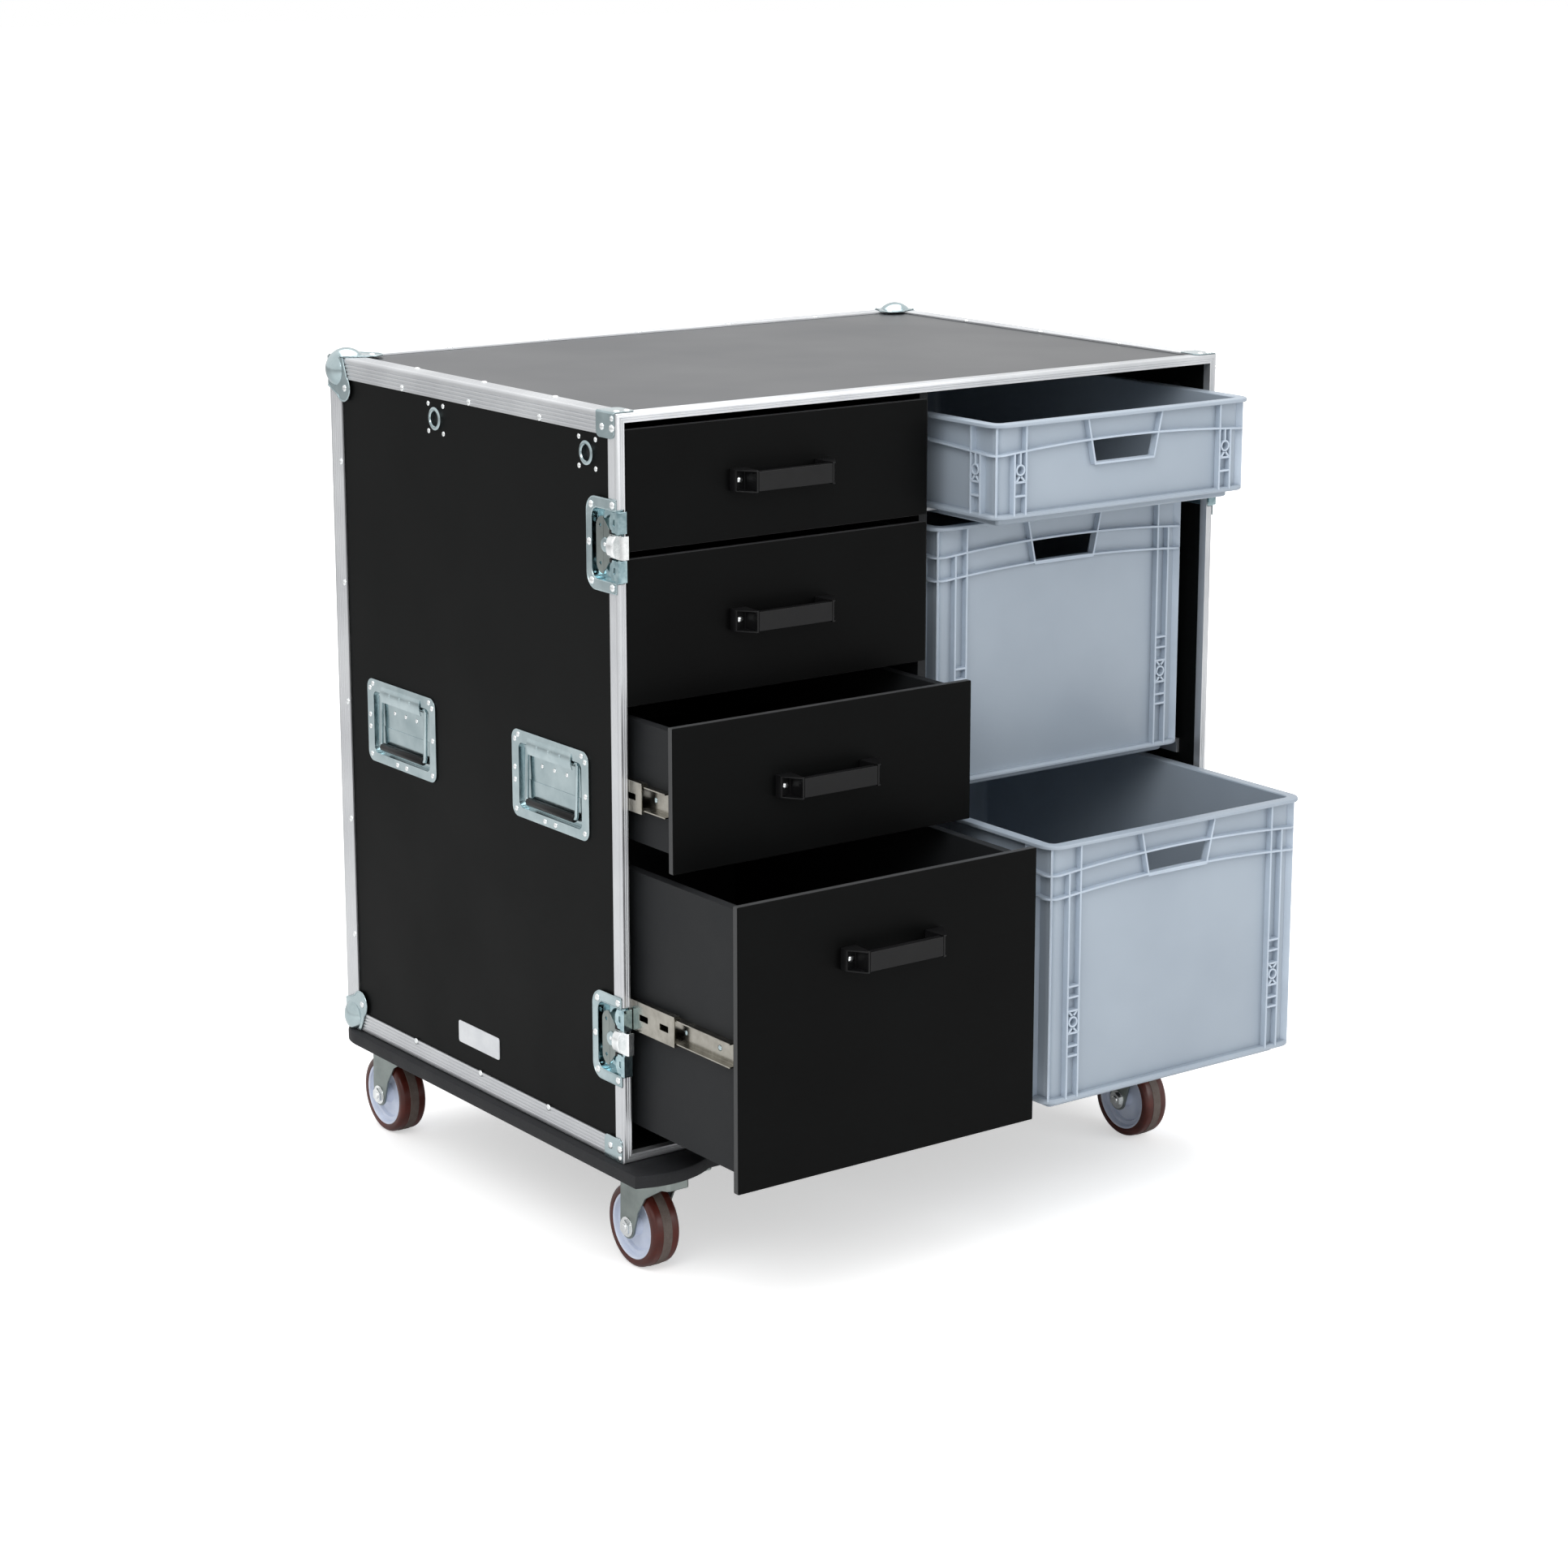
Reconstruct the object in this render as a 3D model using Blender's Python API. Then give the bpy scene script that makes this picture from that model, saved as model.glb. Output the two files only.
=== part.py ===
"""Tool flight case on castors: four drawers, three stacking containers, latches and carry handles.

Metres, +Z up. The open front faces -Y. Inside the functions, x runs from the middle of the case,
y goes back from its front plane and z goes up from its underside; an empty carries that frame.
It rests as photographed: two drawers and two containers are pulled out.
"""
import math

import bmesh
import bpy
from mathutils import Matrix, Vector

for old in list(bpy.data.objects):
    bpy.data.objects.remove(old, do_unlink=True)

# Sheet, clearance and wall sizes
GAP = 0.0003                # between pieces that touch
SKIN = 0.0018               # aluminium edge profile
PLY = 0.0067                # laminated panels
DIVIDER = 0.012
LIP_OVER = 0.0015           # how far the profile's inner leg stands in from the panel
LEG_DEPTH = 0.011           # depth of the profile's inner leg behind the front plane
EDGE_ROUND = 0.003

# Stacking containers, which set the size of the case
BOX_W = 0.400
BOX_L = 0.600
BOX_LOW = 0.120
BOX_TALL = 0.320
BOX_SIDE = 0.01135          # free space at each side of a container
BOX_SETBACK = 0.016         # a closed container's front behind the front plane
BOX_REAR = 0.0072           # free space behind a closed container or drawer
BOX_OVER = (0.0078, 0.0039) # from a rim up to the rails above it
TOP_SPACE = 0.0325          # from the upper rim to the top panel

# Container moulding
RIM = 0.0045
RIM_CORNER = 0.022
FOOT = 0.009
FOOT_INSET = 0.021
LEDGE = 0.006
RIB_INSET = 0.004           # outer edge of the ribs behind the rim
WALL_INSET = 0.012
WALL = 0.0025
RIB = 0.0026
CORNER_POINTS = 3           # points that each rounded corner is drawn with
BAND_CROWN = 0.027          # first band under the rim's top, at the middle of a side
BAND_ARCH = 0.0095          # how much lower it is at the corners
BAND_STEP = 0.0275          # second band under the first, on a tall container
BAND_SPANS = 3              # straight runs that each side's arch is drawn with
FLAT = math.radians(0.2)    # neighbouring faces closer than this are one flat face
CORNER_RIBS = (0.033, 0.050)  # ribs along each face, from the rim's corner
HOLE_TOP_W = 0.100
HOLE_LOW_W = 0.088
HOLE_H = 0.026

# Rails under the containers
RAIL_H = 0.018
RAIL_SHEET = 0.004
RAIL_START = 0.040
RAIL_CLEAR = 0.0018         # beside a container's foot

# Drawer column
COLUMN_W = 0.4217
DRAWER_HEIGHTS = (0.1335, 0.1635, 0.1635)  # the lowest drawer takes the rest
DRAWER_GAP = 0.0085
FRONT_TOP = 0.0082          # from the front frame's lip to the upper drawer
FRONT_LOW = 0.0122
FRONT_LEFT = 0.0022
FRONT_RIGHT = 0.0067
FRONT_T = 0.0095
FRONT_SET = 0.001           # a closed drawer's face behind the front plane
DRAWER_L = 0.560
DRAWER_SIDE = 0.012
DRAWER_FLOOR = 0.006
SIDE_DROP = 0.008           # sides below the front's top
SIDE_LIFT = 0.018           # box above the front's lower edge

# Drawer slides
SLIDE_SPACE = 0.0139        # between panel and drawer box
SLIDE_L = 0.550
SLIDE_H = 0.038
SLIDE_SHEET = 0.0012
BALL_CAGE = 0.0032          # middle member's flange with its balls
CASE_MEMBER_D = 0.0086      # case member's flanges, from the wall
MIDDLE_MEMBER = (0.0019, 0.0107)  # from the wall out
SLIDE_SETBACK = 0.017
SLIDE_DROP = 0.008          # slide's middle below the front's middle

# Bow pulls
PULL_W = 0.140
PULL_STRAP = 0.025
PULL_OUT = 0.030
PULL_T = 0.012
PULL_FOOT = 0.020
PULL_BLOCK = 0.017          # end blocks off the drawer's face
PULL_BAR = 0.080            # straight bar between the slanted shoulders
PULL_SPLAY = 0.006          # how far a foot's inner face leans towards the middle
PULL_CHAMFER = 0.004
PULL_DROP = (0.000, 0.000, 0.001, -0.081)  # pull's middle below the front's middle

# How far each piece stands out of the case in the rest pose
DRAWER_OUT = (0.0, 0.0, 0.085, 0.205)
BOX_OUT = (0.105, 0.0, 0.213)  # from the upper container down
TRAVEL = 0.550              # a drawer's whole way out of the shut case, and a container's
BOX_TRAVEL = 0.450

# Edge profiles, braces and ball corners
FRONT_FLANGE = 0.020
REAR_FLANGE = 0.030
EDGE_FLANGE = 0.025
BRACE_DEPTH = 0.038
BRACE_H = 0.028
BRACE_T = 0.0012
BRACE_ROUND = 0.007
BALL_R = 0.0275
BALL_IN = 0.0145            # ball centre inside the outer planes
EAR_ROOT = 0.036            # where an ear's sides start, along both edges from the corner
EAR_MIDDLE = 0.036          # middle of an ear's round end, from both edges
EAR_END = 0.016             # radius of the round end
EAR_SEAT = 0.003            # ears run on this far into the corner before they are cut back
EAR_ANGLES = [math.radians(angle) for angle in (-55, -15, 25, 65, 105, 145)]

# Ring sockets in the sides
SOCKET_Y = (0.0606, 0.3827)
SOCKET_DROP = 0.049         # socket's middle below the top
SOCKET_R = 0.0135
SOCKET_BORE = 0.0088
SOCKET_RISE = 0.0011        # rim outside the outer plane
SOCKET_DEPTH = 0.0065

# Butterfly latches
LATCH_DROP = 0.1518         # upper latch's middle below the top
LATCH_LIFT = 0.1363         # lower latch's middle above the underside
LATCH_H = 0.1125
LATCH_Y = 0.064             # rear end of the dish plate
LATCH_MARGIN = 0.0105       # plate around the tray
LATCH_END_MARGIN = 0.0175
LATCH_ROUND = 0.018         # the dish plate's rear corners
TRAY_ROUND = 0.006          # the latch tray's rear corners, and the cut-out's for it
PLATE = 0.0012
TRAY_DEPTH = 0.0070         # floor of the latch and handle trays under the outer plane
SPINDLE_Y = 0.0334
SPINDLE_R = 0.010
BOSS_R = 0.005
KEY_W = 0.0185
KEY_L = 0.066
KEY_T = 0.0015
KEY_DEPTH = 0.0014          # middle of the key's plate under the outer plane
HOOK_W = 0.026
HOOK_OVER = 0.009           # hook ahead of the front plane
HOOK_T = 0.0015
HOOK_DEPTH = 0.0003         # hook's plate under the outer plane
HOOK_THROW = 0.008

# Carry handles
HANDLE_Z = 0.412
HANDLE_FRONT_Y = 0.145
HANDLE_REAR = 0.1537        # rear handle's middle ahead of the rear plane
HANDLE_W = 0.161
HANDLE_H = 0.103
HANDLE_MARGIN = 0.0145
HANDLE_PLATE = 0.0016
HANDLE_ROUND = 0.012        # the dish plate's corners
HANDLE_TRAY_ROUND = 0.008   # the tray's corners, and the cut-out's for it
PIVOT_DROP = 0.018
PIVOT_DEPTH = 0.0040
GRIP_R = 0.0047
GRIP_L = 0.098
GRIP_LIFT = 0.021           # grip's middle above the dish's lower edge
BAIL_R = 0.0025
COVER_W = 0.092
COVER_H = 0.016
COVER_ROUND = 0.004
COVER_DROP = 0.002          # cover's upper edge below the plate's

# Castor board and castors
BOARD_T = 0.015
BOARD_SIDE = 0.0115         # board beyond the case's sides
BOARD_CORNER_Y = 0.0385     # where the side face ends ahead of the front plane
BOARD_FACET = 0.013
LOBE_R = 0.100
LOBE_Y = 0.050
LOBE_X = 0.037              # lobe's centre in from the case's side
BOARD_FRONT = 0.032
BOARD_REAR = 0.037          # where the side face ends at the back, ahead of the rear plane
BOARD_REAR_R = 0.060
CASTOR_X = 0.0625           # swivel axis in from the case's side
CASTOR_FRONT_Y = 0.017
CASTOR_REAR = 0.044         # rear swivel axes ahead of the rear plane
TRAIL = 0.038
CASTOR_PLATE = (0.078, 0.095, 0.003)
RACE_R = 0.027
RACE_H = 0.010
PLATE_ROUND = 0.006
HEAD_T = 0.003
WHEEL_R = 0.050
WHEEL_W = 0.030
HUB_R = 0.037
HUB_W = 0.024
AXLE_R = 0.005
AXLE_Z = 0.085              # axle below the board
FORK_IN = 0.0178            # half the space inside the fork
FORK_T = 0.0028
FORK_HALF = 0.034           # fork head ahead of and behind the swivel axis
FORK_NOSE_H = 0.018
FORK_TAIL_H = 0.012
AXLE_PROUD = 0.006          # bolt's end outside the fork
NUT_T = 0.0045
BRAKE_LAP = 0.014
BRAKE_OUT = 0.026
BRAKE_H = 0.016
BRAKE_T = 0.0015

# Places worked out from the sizes above
INNER = SKIN + GAP + PLY
LIP = INNER + LIP_OVER
CASE_W = 2 * INNER + COLUMN_W + DIVIDER + BOX_W + 2 * BOX_SIDE
DRAWER_END = FRONT_SET + FRONT_T + DRAWER_L
SLIDE_END = SLIDE_SETBACK + SLIDE_L
CASE_D = max(BOX_SETBACK + BOX_L, DRAWER_END, SLIDE_END) + BOX_REAR + INNER
CASTOR_REAR_Y = CASE_D - CASTOR_REAR
LEFT = -CASE_W / 2
RIGHT = CASE_W / 2
DIVIDER_X = LEFT + INNER + COLUMN_W
BOX_X = DIVIDER_X + DIVIDER + BOX_SIDE + BOX_W / 2
RAIL_LIFT = RAIL_H + GAP - FOOT
BOX3_Z = INNER + GAP + RAIL_LIFT
BOX2_Z = BOX3_Z + BOX_TALL + BOX_OVER[0] + RAIL_LIFT
BOX1_Z = BOX2_Z + BOX_TALL + BOX_OVER[1] + RAIL_LIFT
CASE_H = BOX1_Z + BOX_LOW + TOP_SPACE + INNER
BODY_Z = BOARD_T + GAP + AXLE_Z + WHEEL_R
DRAWER_FACE_X = LEFT + LIP + FRONT_LEFT
DRAWER_FACE_W = COLUMN_W - (LIP - INNER) - FRONT_LEFT - FRONT_RIGHT
DRAWER_BOX_X = LEFT + INNER + SLIDE_SPACE
DRAWER_BOX_W = COLUMN_W - 2 * SLIDE_SPACE
PULL_X = DRAWER_FACE_X + DRAWER_FACE_W / 2
FRONT_REACH = max(max(DRAWER_OUT) - FRONT_SET + GAP + PULL_OUT, max(BOX_OUT) - BOX_SETBACK)
REAR_REACH = CASTOR_REAR_Y + TRAIL + WHEEL_R
MIDDLE_Y = (REAR_REACH - FRONT_REACH) / 2

root = bpy.data.objects.new("case_frame", None)
bpy.context.scene.collection.objects.link(root)
root.location = (0, -MIDDLE_Y, BODY_Z)


def material(name, color, roughness, metallic=0.0):
    """A plain Principled material in linear colour."""
    made = bpy.data.materials.new(name)
    made.use_nodes = True
    shader = made.node_tree.nodes["Principled BSDF"]
    shader.inputs["Base Color"].default_value = (*color, 1)
    shader.inputs["Roughness"].default_value = roughness
    shader.inputs["Metallic"].default_value = metallic
    made.diffuse_color = (*color, 1)
    return made


LAMINATE = material("black_laminate", (0.022, 0.022, 0.024), 0.45)
DRAWER_PLY = material("black_film_plywood", (0.020, 0.021, 0.021), 0.55)
ALUMINIUM = material("aluminium_profile", (0.62, 0.63, 0.63), 0.35, 1.0)
ZINC = material("bright_zinc_steel", (0.60, 0.66, 0.67), 0.28, 1.0)
BLACK_PLASTIC = material("black_plastic", (0.012, 0.012, 0.013), 0.4)
GREY_PLASTIC = material("grey_polypropylene", (0.42, 0.47, 0.52), 0.5)
TREAD = material("red_brown_polyurethane", (0.13, 0.035, 0.022), 0.4)


def circle(radius, count, start=0.0, sweep=math.tau, centre=(0, 0)):
    """Points on an arc; a full turn leaves out its repeated last point."""
    full = abs(sweep - math.tau) < 1e-9
    steps = count if full else count - 1
    return [
        (
            centre[0] + radius * math.cos(start + sweep * i / steps),
            centre[1] + radius * math.sin(start + sweep * i / steps),
        )
        for i in range(count)
    ]


def rounded(u0, u1, v0, v1, radius, corners=(1, 1, 1, 1), count=3):
    """A rectangle whose corners, from the lower left anticlockwise, are round where corners says so."""
    points = []
    places = ((u0, v0, 1, 1), (u1, v0, -1, 1), (u1, v1, -1, -1), (u0, v1, 1, -1))
    for i, (u, v, su, sv) in enumerate(places):
        if corners[i] and radius > 0:
            centre = (u + su * radius, v + sv * radius)
            points += circle(radius, count, math.pi * (1 + i / 2), math.pi / 2, centre)
        else:
            points.append((u, v))
    return points


def add_prism(mesh, outline, low, high, axis):
    """Extrudes an outline along an axis. It is in (y, z) for X, (x, z) for Y and (x, y) for Z."""
    def place(point, level):
        a, b = point
        return {"X": (level, a, b), "Y": (a, level, b), "Z": (a, b, level)}[axis]

    ends = [[mesh.verts.new(place(p, level)) for p in outline] for level in (low, high)]
    faces = [mesh.faces.new(ends[0]), mesh.faces.new(ends[1])]
    for i in range(len(outline)):
        j = (i + 1) % len(outline)
        faces.append(mesh.faces.new((ends[0][i], ends[0][j], ends[1][j], ends[1][i])))
    return faces


def add_box(mesh, x0, x1, y0, y1, z0, z1):
    """A plain block."""
    return add_prism(mesh, [(x0, y0), (x1, y0), (x1, y1), (x0, y1)], z0, z1, "Z")


def add_loft(mesh, loops, closed=False):
    """Joins loops of equal length. An open loft gets end caps; a closed one joins last to first."""
    rows = [[mesh.verts.new(p) for p in loop] for loop in loops]
    pairs = list(zip(rows, rows[1:]))
    if closed:
        pairs.append((rows[-1], rows[0]))
    for lower, upper in pairs:
        for i in range(len(lower)):
            j = (i + 1) % len(lower)
            mesh.faces.new((lower[i], lower[j], upper[j], upper[i]))
    if not closed:
        mesh.faces.new(rows[0])
        mesh.faces.new(rows[-1])


def add_turned(mesh, profile, steps, axis, centre):
    """Turns a closed profile of (along, radius) points about an axis through centre."""
    loops = []
    for along, radius in profile:
        ring = []
        for a, b in circle(radius, steps, math.pi / 2):
            ring.append(
                {"X": (along, a, b), "Y": (a, along, b), "Z": (a, b, along)}[axis]
            )
        loops.append([tuple(Vector(p) + Vector(centre)) for p in ring])
    add_loft(mesh, loops, closed=True)


def add_rod(mesh, radius, steps, low, high, axis, centre):
    """A solid cylinder from low to high along an axis through centre (the other two coordinates)."""
    outline = circle(radius, steps, math.pi / 2, centre=centre)
    add_prism(mesh, outline, low, high, axis)


def finish(name, mesh, surface, origin=(0, 0, 0), smooth=True):
    """Turns a bmesh drawn in the case's frame into an object whose origin is where given."""
    bmesh.ops.recalc_face_normals(mesh, faces=mesh.faces)
    bmesh.ops.translate(mesh, verts=mesh.verts, vec=-Vector(origin))
    data = bpy.data.meshes.new(name)
    mesh.to_mesh(data)
    mesh.free()
    obj = bpy.data.objects.new(name, data)
    bpy.context.scene.collection.objects.link(obj)
    obj.parent = root
    obj.location = origin
    if surface:
        data.materials.append(surface)
    if smooth:
        data.shade_smooth()
        data.set_sharp_from_angle(angle=math.radians(35))
    return obj


def helper(name, mesh):
    """A cutter, or a solid that a union joins to its carrier."""
    obj = finish(name, mesh, None, smooth=False)
    obj.hide_render = True
    obj.display_type = "WIRE"
    return obj


def boolean(obj, tool, operation):
    """Adds a live Boolean modifier."""
    step = obj.modifiers.new(tool.name, "BOOLEAN")
    step.object = tool
    step.operation = operation
    step.solver = "EXACT"
    return obj


def cut(obj, tool):
    return boolean(obj, tool, "DIFFERENCE")


def join(obj, tool):
    return boolean(obj, tool, "UNION")


def inward(side, depth):
    """x of a point a depth inside the case's outer plane on one side, -1 for left and 1 for right."""
    return side * (CASE_W / 2 - depth)


def side_name(side):
    return "left" if side < 0 else "right"


LATCH_PLACES = {"upper": CASE_H - LATCH_DROP, "lower": LATCH_LIFT}
HANDLE_PLACES = {"front": HANDLE_FRONT_Y, "rear": CASE_D - HANDLE_REAR}
LATCH_TRAY_Y = LATCH_Y - LATCH_MARGIN
LATCH_TRAY_HALF = LATCH_H / 2 - LATCH_END_MARGIN
HANDLE_TRAY_W = HANDLE_W / 2 - HANDLE_MARGIN
PIVOT_Z = HANDLE_Z + HANDLE_H / 2 - PIVOT_DROP
HANDLE_TRAY_LOW = HANDLE_Z - HANDLE_H / 2 + HANDLE_MARGIN * 0.8
HANDLE_TRAY_TOP = PIVOT_Z + BAIL_R + 2 * GAP
DRAWER_TOP = CASE_H - LIP - FRONT_TOP


def drawer_places():
    """(low, high) of each drawer's front, from the top."""
    places = []
    top = DRAWER_TOP
    for height in DRAWER_HEIGHTS:
        places.append((top - height, top))
        top -= height + DRAWER_GAP
    places.append((LIP + FRONT_LOW, top))
    return places


DRAWERS = drawer_places()
CONTAINERS = (
    ("container_upper", BOX1_Z, BOX_LOW, BOX_OUT[0]),
    ("container_middle", BOX2_Z, BOX_TALL, BOX_OUT[1]),
    ("container_lower", BOX3_Z, BOX_TALL, BOX_OUT[2]),
)


def slide_z(low, high):
    """Middle height of a drawer's slides."""
    return (low + high) / 2 - SLIDE_DROP


# Panels


def channel(wall, sign, start, height, depth, flange, sheet):
    """Section of a slide member in (x, z): a web by the wall and two flanges away from it."""
    h = height / 2
    points = [
        (start, -h), (depth, -h), (depth, -h + flange), (start + sheet, -h + flange),
        (start + sheet, h - flange), (depth, h - flange), (depth, h), (start, h),
    ]
    return [(wall + sign * x, z) for x, z in points]


def add_case_members(mesh, wall, sign):
    """The fixed slide members on one wall of the drawer column."""
    for low, high in DRAWERS:
        z = slide_z(low, high)
        outline = [
            (x, z + dz)
            for x, dz in channel(
                wall, sign, -GAP, SLIDE_H, CASE_MEMBER_D, SLIDE_SHEET, GAP + SLIDE_SHEET
            )
        ]
        add_prism(mesh, outline, SLIDE_SETBACK, SLIDE_SETBACK + SLIDE_L, "Y")


def add_rails(mesh, wall, sign, reach):
    """Angle rails on one wall of the container column; sign points away from the wall."""
    for _, base, _, _ in CONTAINERS:
        top = base + FOOT - GAP
        outline = [
            (-GAP, top - RAIL_H), (RAIL_SHEET, top - RAIL_H), (RAIL_SHEET, top - RAIL_SHEET),
            (reach, top - RAIL_SHEET), (reach, top), (-GAP, top),
        ]
        placed = [(wall + sign * x, z) for x, z in outline]
        add_prism(mesh, placed, RAIL_START, CASE_D - INNER - BOX_REAR, "Y")


def side_cutter(side):
    """What the latch trays and handle trays need cut out of a side panel."""
    mesh = bmesh.new()
    low, high = sorted((inward(side, -0.01), inward(side, INNER + 0.002)))
    for z in LATCH_PLACES.values():
        half = LATCH_TRAY_HALF + PLATE + GAP
        outline = rounded(-0.01, LATCH_TRAY_Y + PLATE + GAP, z - half, z + half, TRAY_ROUND, (0, 1, 1, 0))
        add_prism(mesh, outline, low, high, "X")
    for y in HANDLE_PLACES.values():
        half = HANDLE_TRAY_W + PLATE + GAP
        outline = rounded(
            y - half, y + half, HANDLE_TRAY_LOW - PLATE - GAP, HANDLE_TRAY_TOP + PLATE + GAP,
            HANDLE_TRAY_ROUND,
        )
        add_prism(mesh, outline, low, high, "X")
    for corner_z in (0, CASE_H):
        add_box(mesh, low, high, CASE_D - INNER, CASE_D, corner_z - INNER, corner_z + INNER)
    return helper(f"{side_name(side)}_panel_cutter", mesh)


def build_panels():
    """The six laminated boards, with what is screwed to them for good."""
    start = SKIN + GAP
    for side in (-1, 1):
        mesh = bmesh.new()
        low, high = sorted((inward(side, start), inward(side, INNER)))
        add_box(mesh, low, high, start, CASE_D - start, start, CASE_H - start)
        panel = finish(f"{side_name(side)}_panel", mesh, LAMINATE)
        cut(panel, side_cutter(side))
        add_ring_sockets(panel, side)
        mesh = bmesh.new()
        if side < 0:
            add_case_members(mesh, LEFT + INNER, 1)
            join(panel, helper("left_case_members", mesh))
        else:
            reach = BOX_SIDE + FOOT_INSET - RAIL_CLEAR
            add_rails(mesh, RIGHT - INNER, -1, reach)
            join(panel, helper("right_rails", mesh))

    inside = CASE_W / 2 - INNER - GAP
    for name, low in (("top_panel", CASE_H - INNER), ("bottom_panel", start)):
        mesh = bmesh.new()
        add_box(mesh, -inside, inside, start, CASE_D - start, low, low + PLY)
        finish(name, mesh, LAMINATE)

    mesh = bmesh.new()
    add_box(mesh, -inside, inside, CASE_D - INNER, CASE_D - start, INNER + GAP, CASE_H - INNER - GAP)
    finish("rear_panel", mesh, LAMINATE)


def add_ring_sockets(panel, side):
    """Turned zinc sockets in a side panel: a rim that stands proud and a blind bore."""
    rims, bores = bmesh.new(), bmesh.new()
    for y in SOCKET_Y:
        place = (y, CASE_H - SOCKET_DROP)
        low, high = sorted((inward(side, -SOCKET_RISE), inward(side, SOCKET_DEPTH)))
        add_prism(rims, circle(SOCKET_R, 12, centre=place), low, high, "X")
        low, high = sorted((inward(side, -2 * SOCKET_RISE), inward(side, SOCKET_DEPTH)))
        add_prism(bores, circle(SOCKET_BORE, 10, centre=place), low, high, "X")
    join(panel, helper(f"{side_name(side)}_socket_rims", rims))
    cut(panel, helper(f"{side_name(side)}_socket_bores", bores))


def build_divider():
    """The board between the columns, with slide members on its left and rails on its right."""
    mesh = bmesh.new()
    add_box(
        mesh, DIVIDER_X, DIVIDER_X + DIVIDER, RAIL_START / 2, CASE_D - INNER - GAP,
        INNER + GAP, CASE_H - INNER - GAP,
    )
    divider = finish("divider", mesh, DRAWER_PLY)
    mesh = bmesh.new()
    add_case_members(mesh, DIVIDER_X, -1)
    add_rails(mesh, DIVIDER_X + DIVIDER, 1, BOX_SIDE + FOOT_INSET - RAIL_CLEAR)
    join(divider, helper("divider_fittings", mesh))


# Frames


def mitred_ring(mesh, profile):
    """Sweeps a closed profile of (depth, y) points round the case's four outer edges."""
    loops = []
    for depth, y in profile:
        x, low, high = CASE_W / 2 - depth, depth, CASE_H - depth
        loops.append([(-x, y, low), (x, y, low), (x, y, high), (-x, y, high)])
    add_loft(mesh, loops, closed=True)


def build_front_frame():
    """The profile round the open front: flange, lip and inner leg, with a brace on each corner."""
    r = EDGE_ROUND
    bend = circle(r, 3, math.pi, math.pi / 2, (r, r))
    profile = [(0, FRONT_FLANGE)] + bend + [
        (LIP, 0), (LIP, LEG_DEPTH), (INNER + GAP, LEG_DEPTH), (INNER + GAP, SKIN),
        (SKIN, SKIN), (SKIN, FRONT_FLANGE),
    ]
    mesh = bmesh.new()
    mitred_ring(mesh, profile)
    frame = finish("front_frame", mesh, ALUMINIUM)
    mesh = bmesh.new()
    for side in (-1, 1):
        low, high = sorted((inward(side, -0.01), inward(side, INNER)))
        for z in LATCH_PLACES.values():
            half = LATCH_TRAY_HALF + PLATE + GAP
            add_box(mesh, low, high, -0.01, FRONT_FLANGE + 0.01, z - half, z + half)
    cut(frame, helper("latch_notches", mesh))
    side_plates, top_plates, seats = bmesh.new(), bmesh.new(), bmesh.new()
    for side in (-1, 1):
        near, far = sorted((inward(side, -GAP), inward(side, -GAP - BRACE_T)))
        for top in (False, True):
            low, high = (CASE_H - BRACE_H, CASE_H + GAP + BRACE_T) if top else (GAP, BRACE_H)
            corners = (1, 1, 0, 0) if top else (0, 0, 1, 1)
            outline = rounded(EDGE_ROUND, BRACE_DEPTH, low, high, BRACE_ROUND, corners)
            add_prism(side_plates, outline, near, far, "X")
            add_brace_seat(seats, side, top)
        near, far = sorted((inward(side, -GAP - BRACE_T), inward(side, BRACE_H)))
        corners = (0, 1, 1, 0) if side < 0 else (1, 0, 0, 1)
        outline = rounded(near, far, EDGE_ROUND, BRACE_DEPTH, BRACE_ROUND, corners)
        add_prism(top_plates, outline, CASE_H + GAP, CASE_H + GAP + BRACE_T, "Z")
    join(frame, helper("front_braces", side_plates))
    join(frame, helper("front_brace_tops", top_plates))
    join(frame, helper("front_brace_seats", seats))


def add_brace_seat(mesh, side, top):
    """The part that ties a brace to the profile; at the top it also wraps over the edge."""
    inner, outer = SKIN / 2, -GAP - BRACE_T / 2
    start, end, reach = 2 * EDGE_ROUND, FRONT_FLANGE - GAP, BRACE_H - BRACE_ROUND
    if top:
        outline = [
            (outer, outer), (reach, outer), (reach, inner), (inner, inner), (inner, reach), (outer, reach)
        ]
    else:
        outline = [(outer, inner + 2 * GAP), (inner, inner + 2 * GAP), (inner, reach), (outer, reach)]
    placed = [(inward(side, across), CASE_H - down if top else down) for across, down in outline]
    add_prism(mesh, placed, start, end, "Y")


def ear_outline(corner, way):
    """A petal from a corner out to a round end on the diagonal; way holds the two signs."""
    (u, v), (su, sv) = corner, way
    end = [
        (EAR_MIDDLE + EAR_END * math.cos(t), EAR_MIDDLE + EAR_END * math.sin(t)) for t in EAR_ANGLES
    ]
    points = [(0, 0), (EAR_ROOT, 0)] + end + [(0, EAR_ROOT)]
    return [(u + su * a, v + sv * b) for a, b in points]


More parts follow.
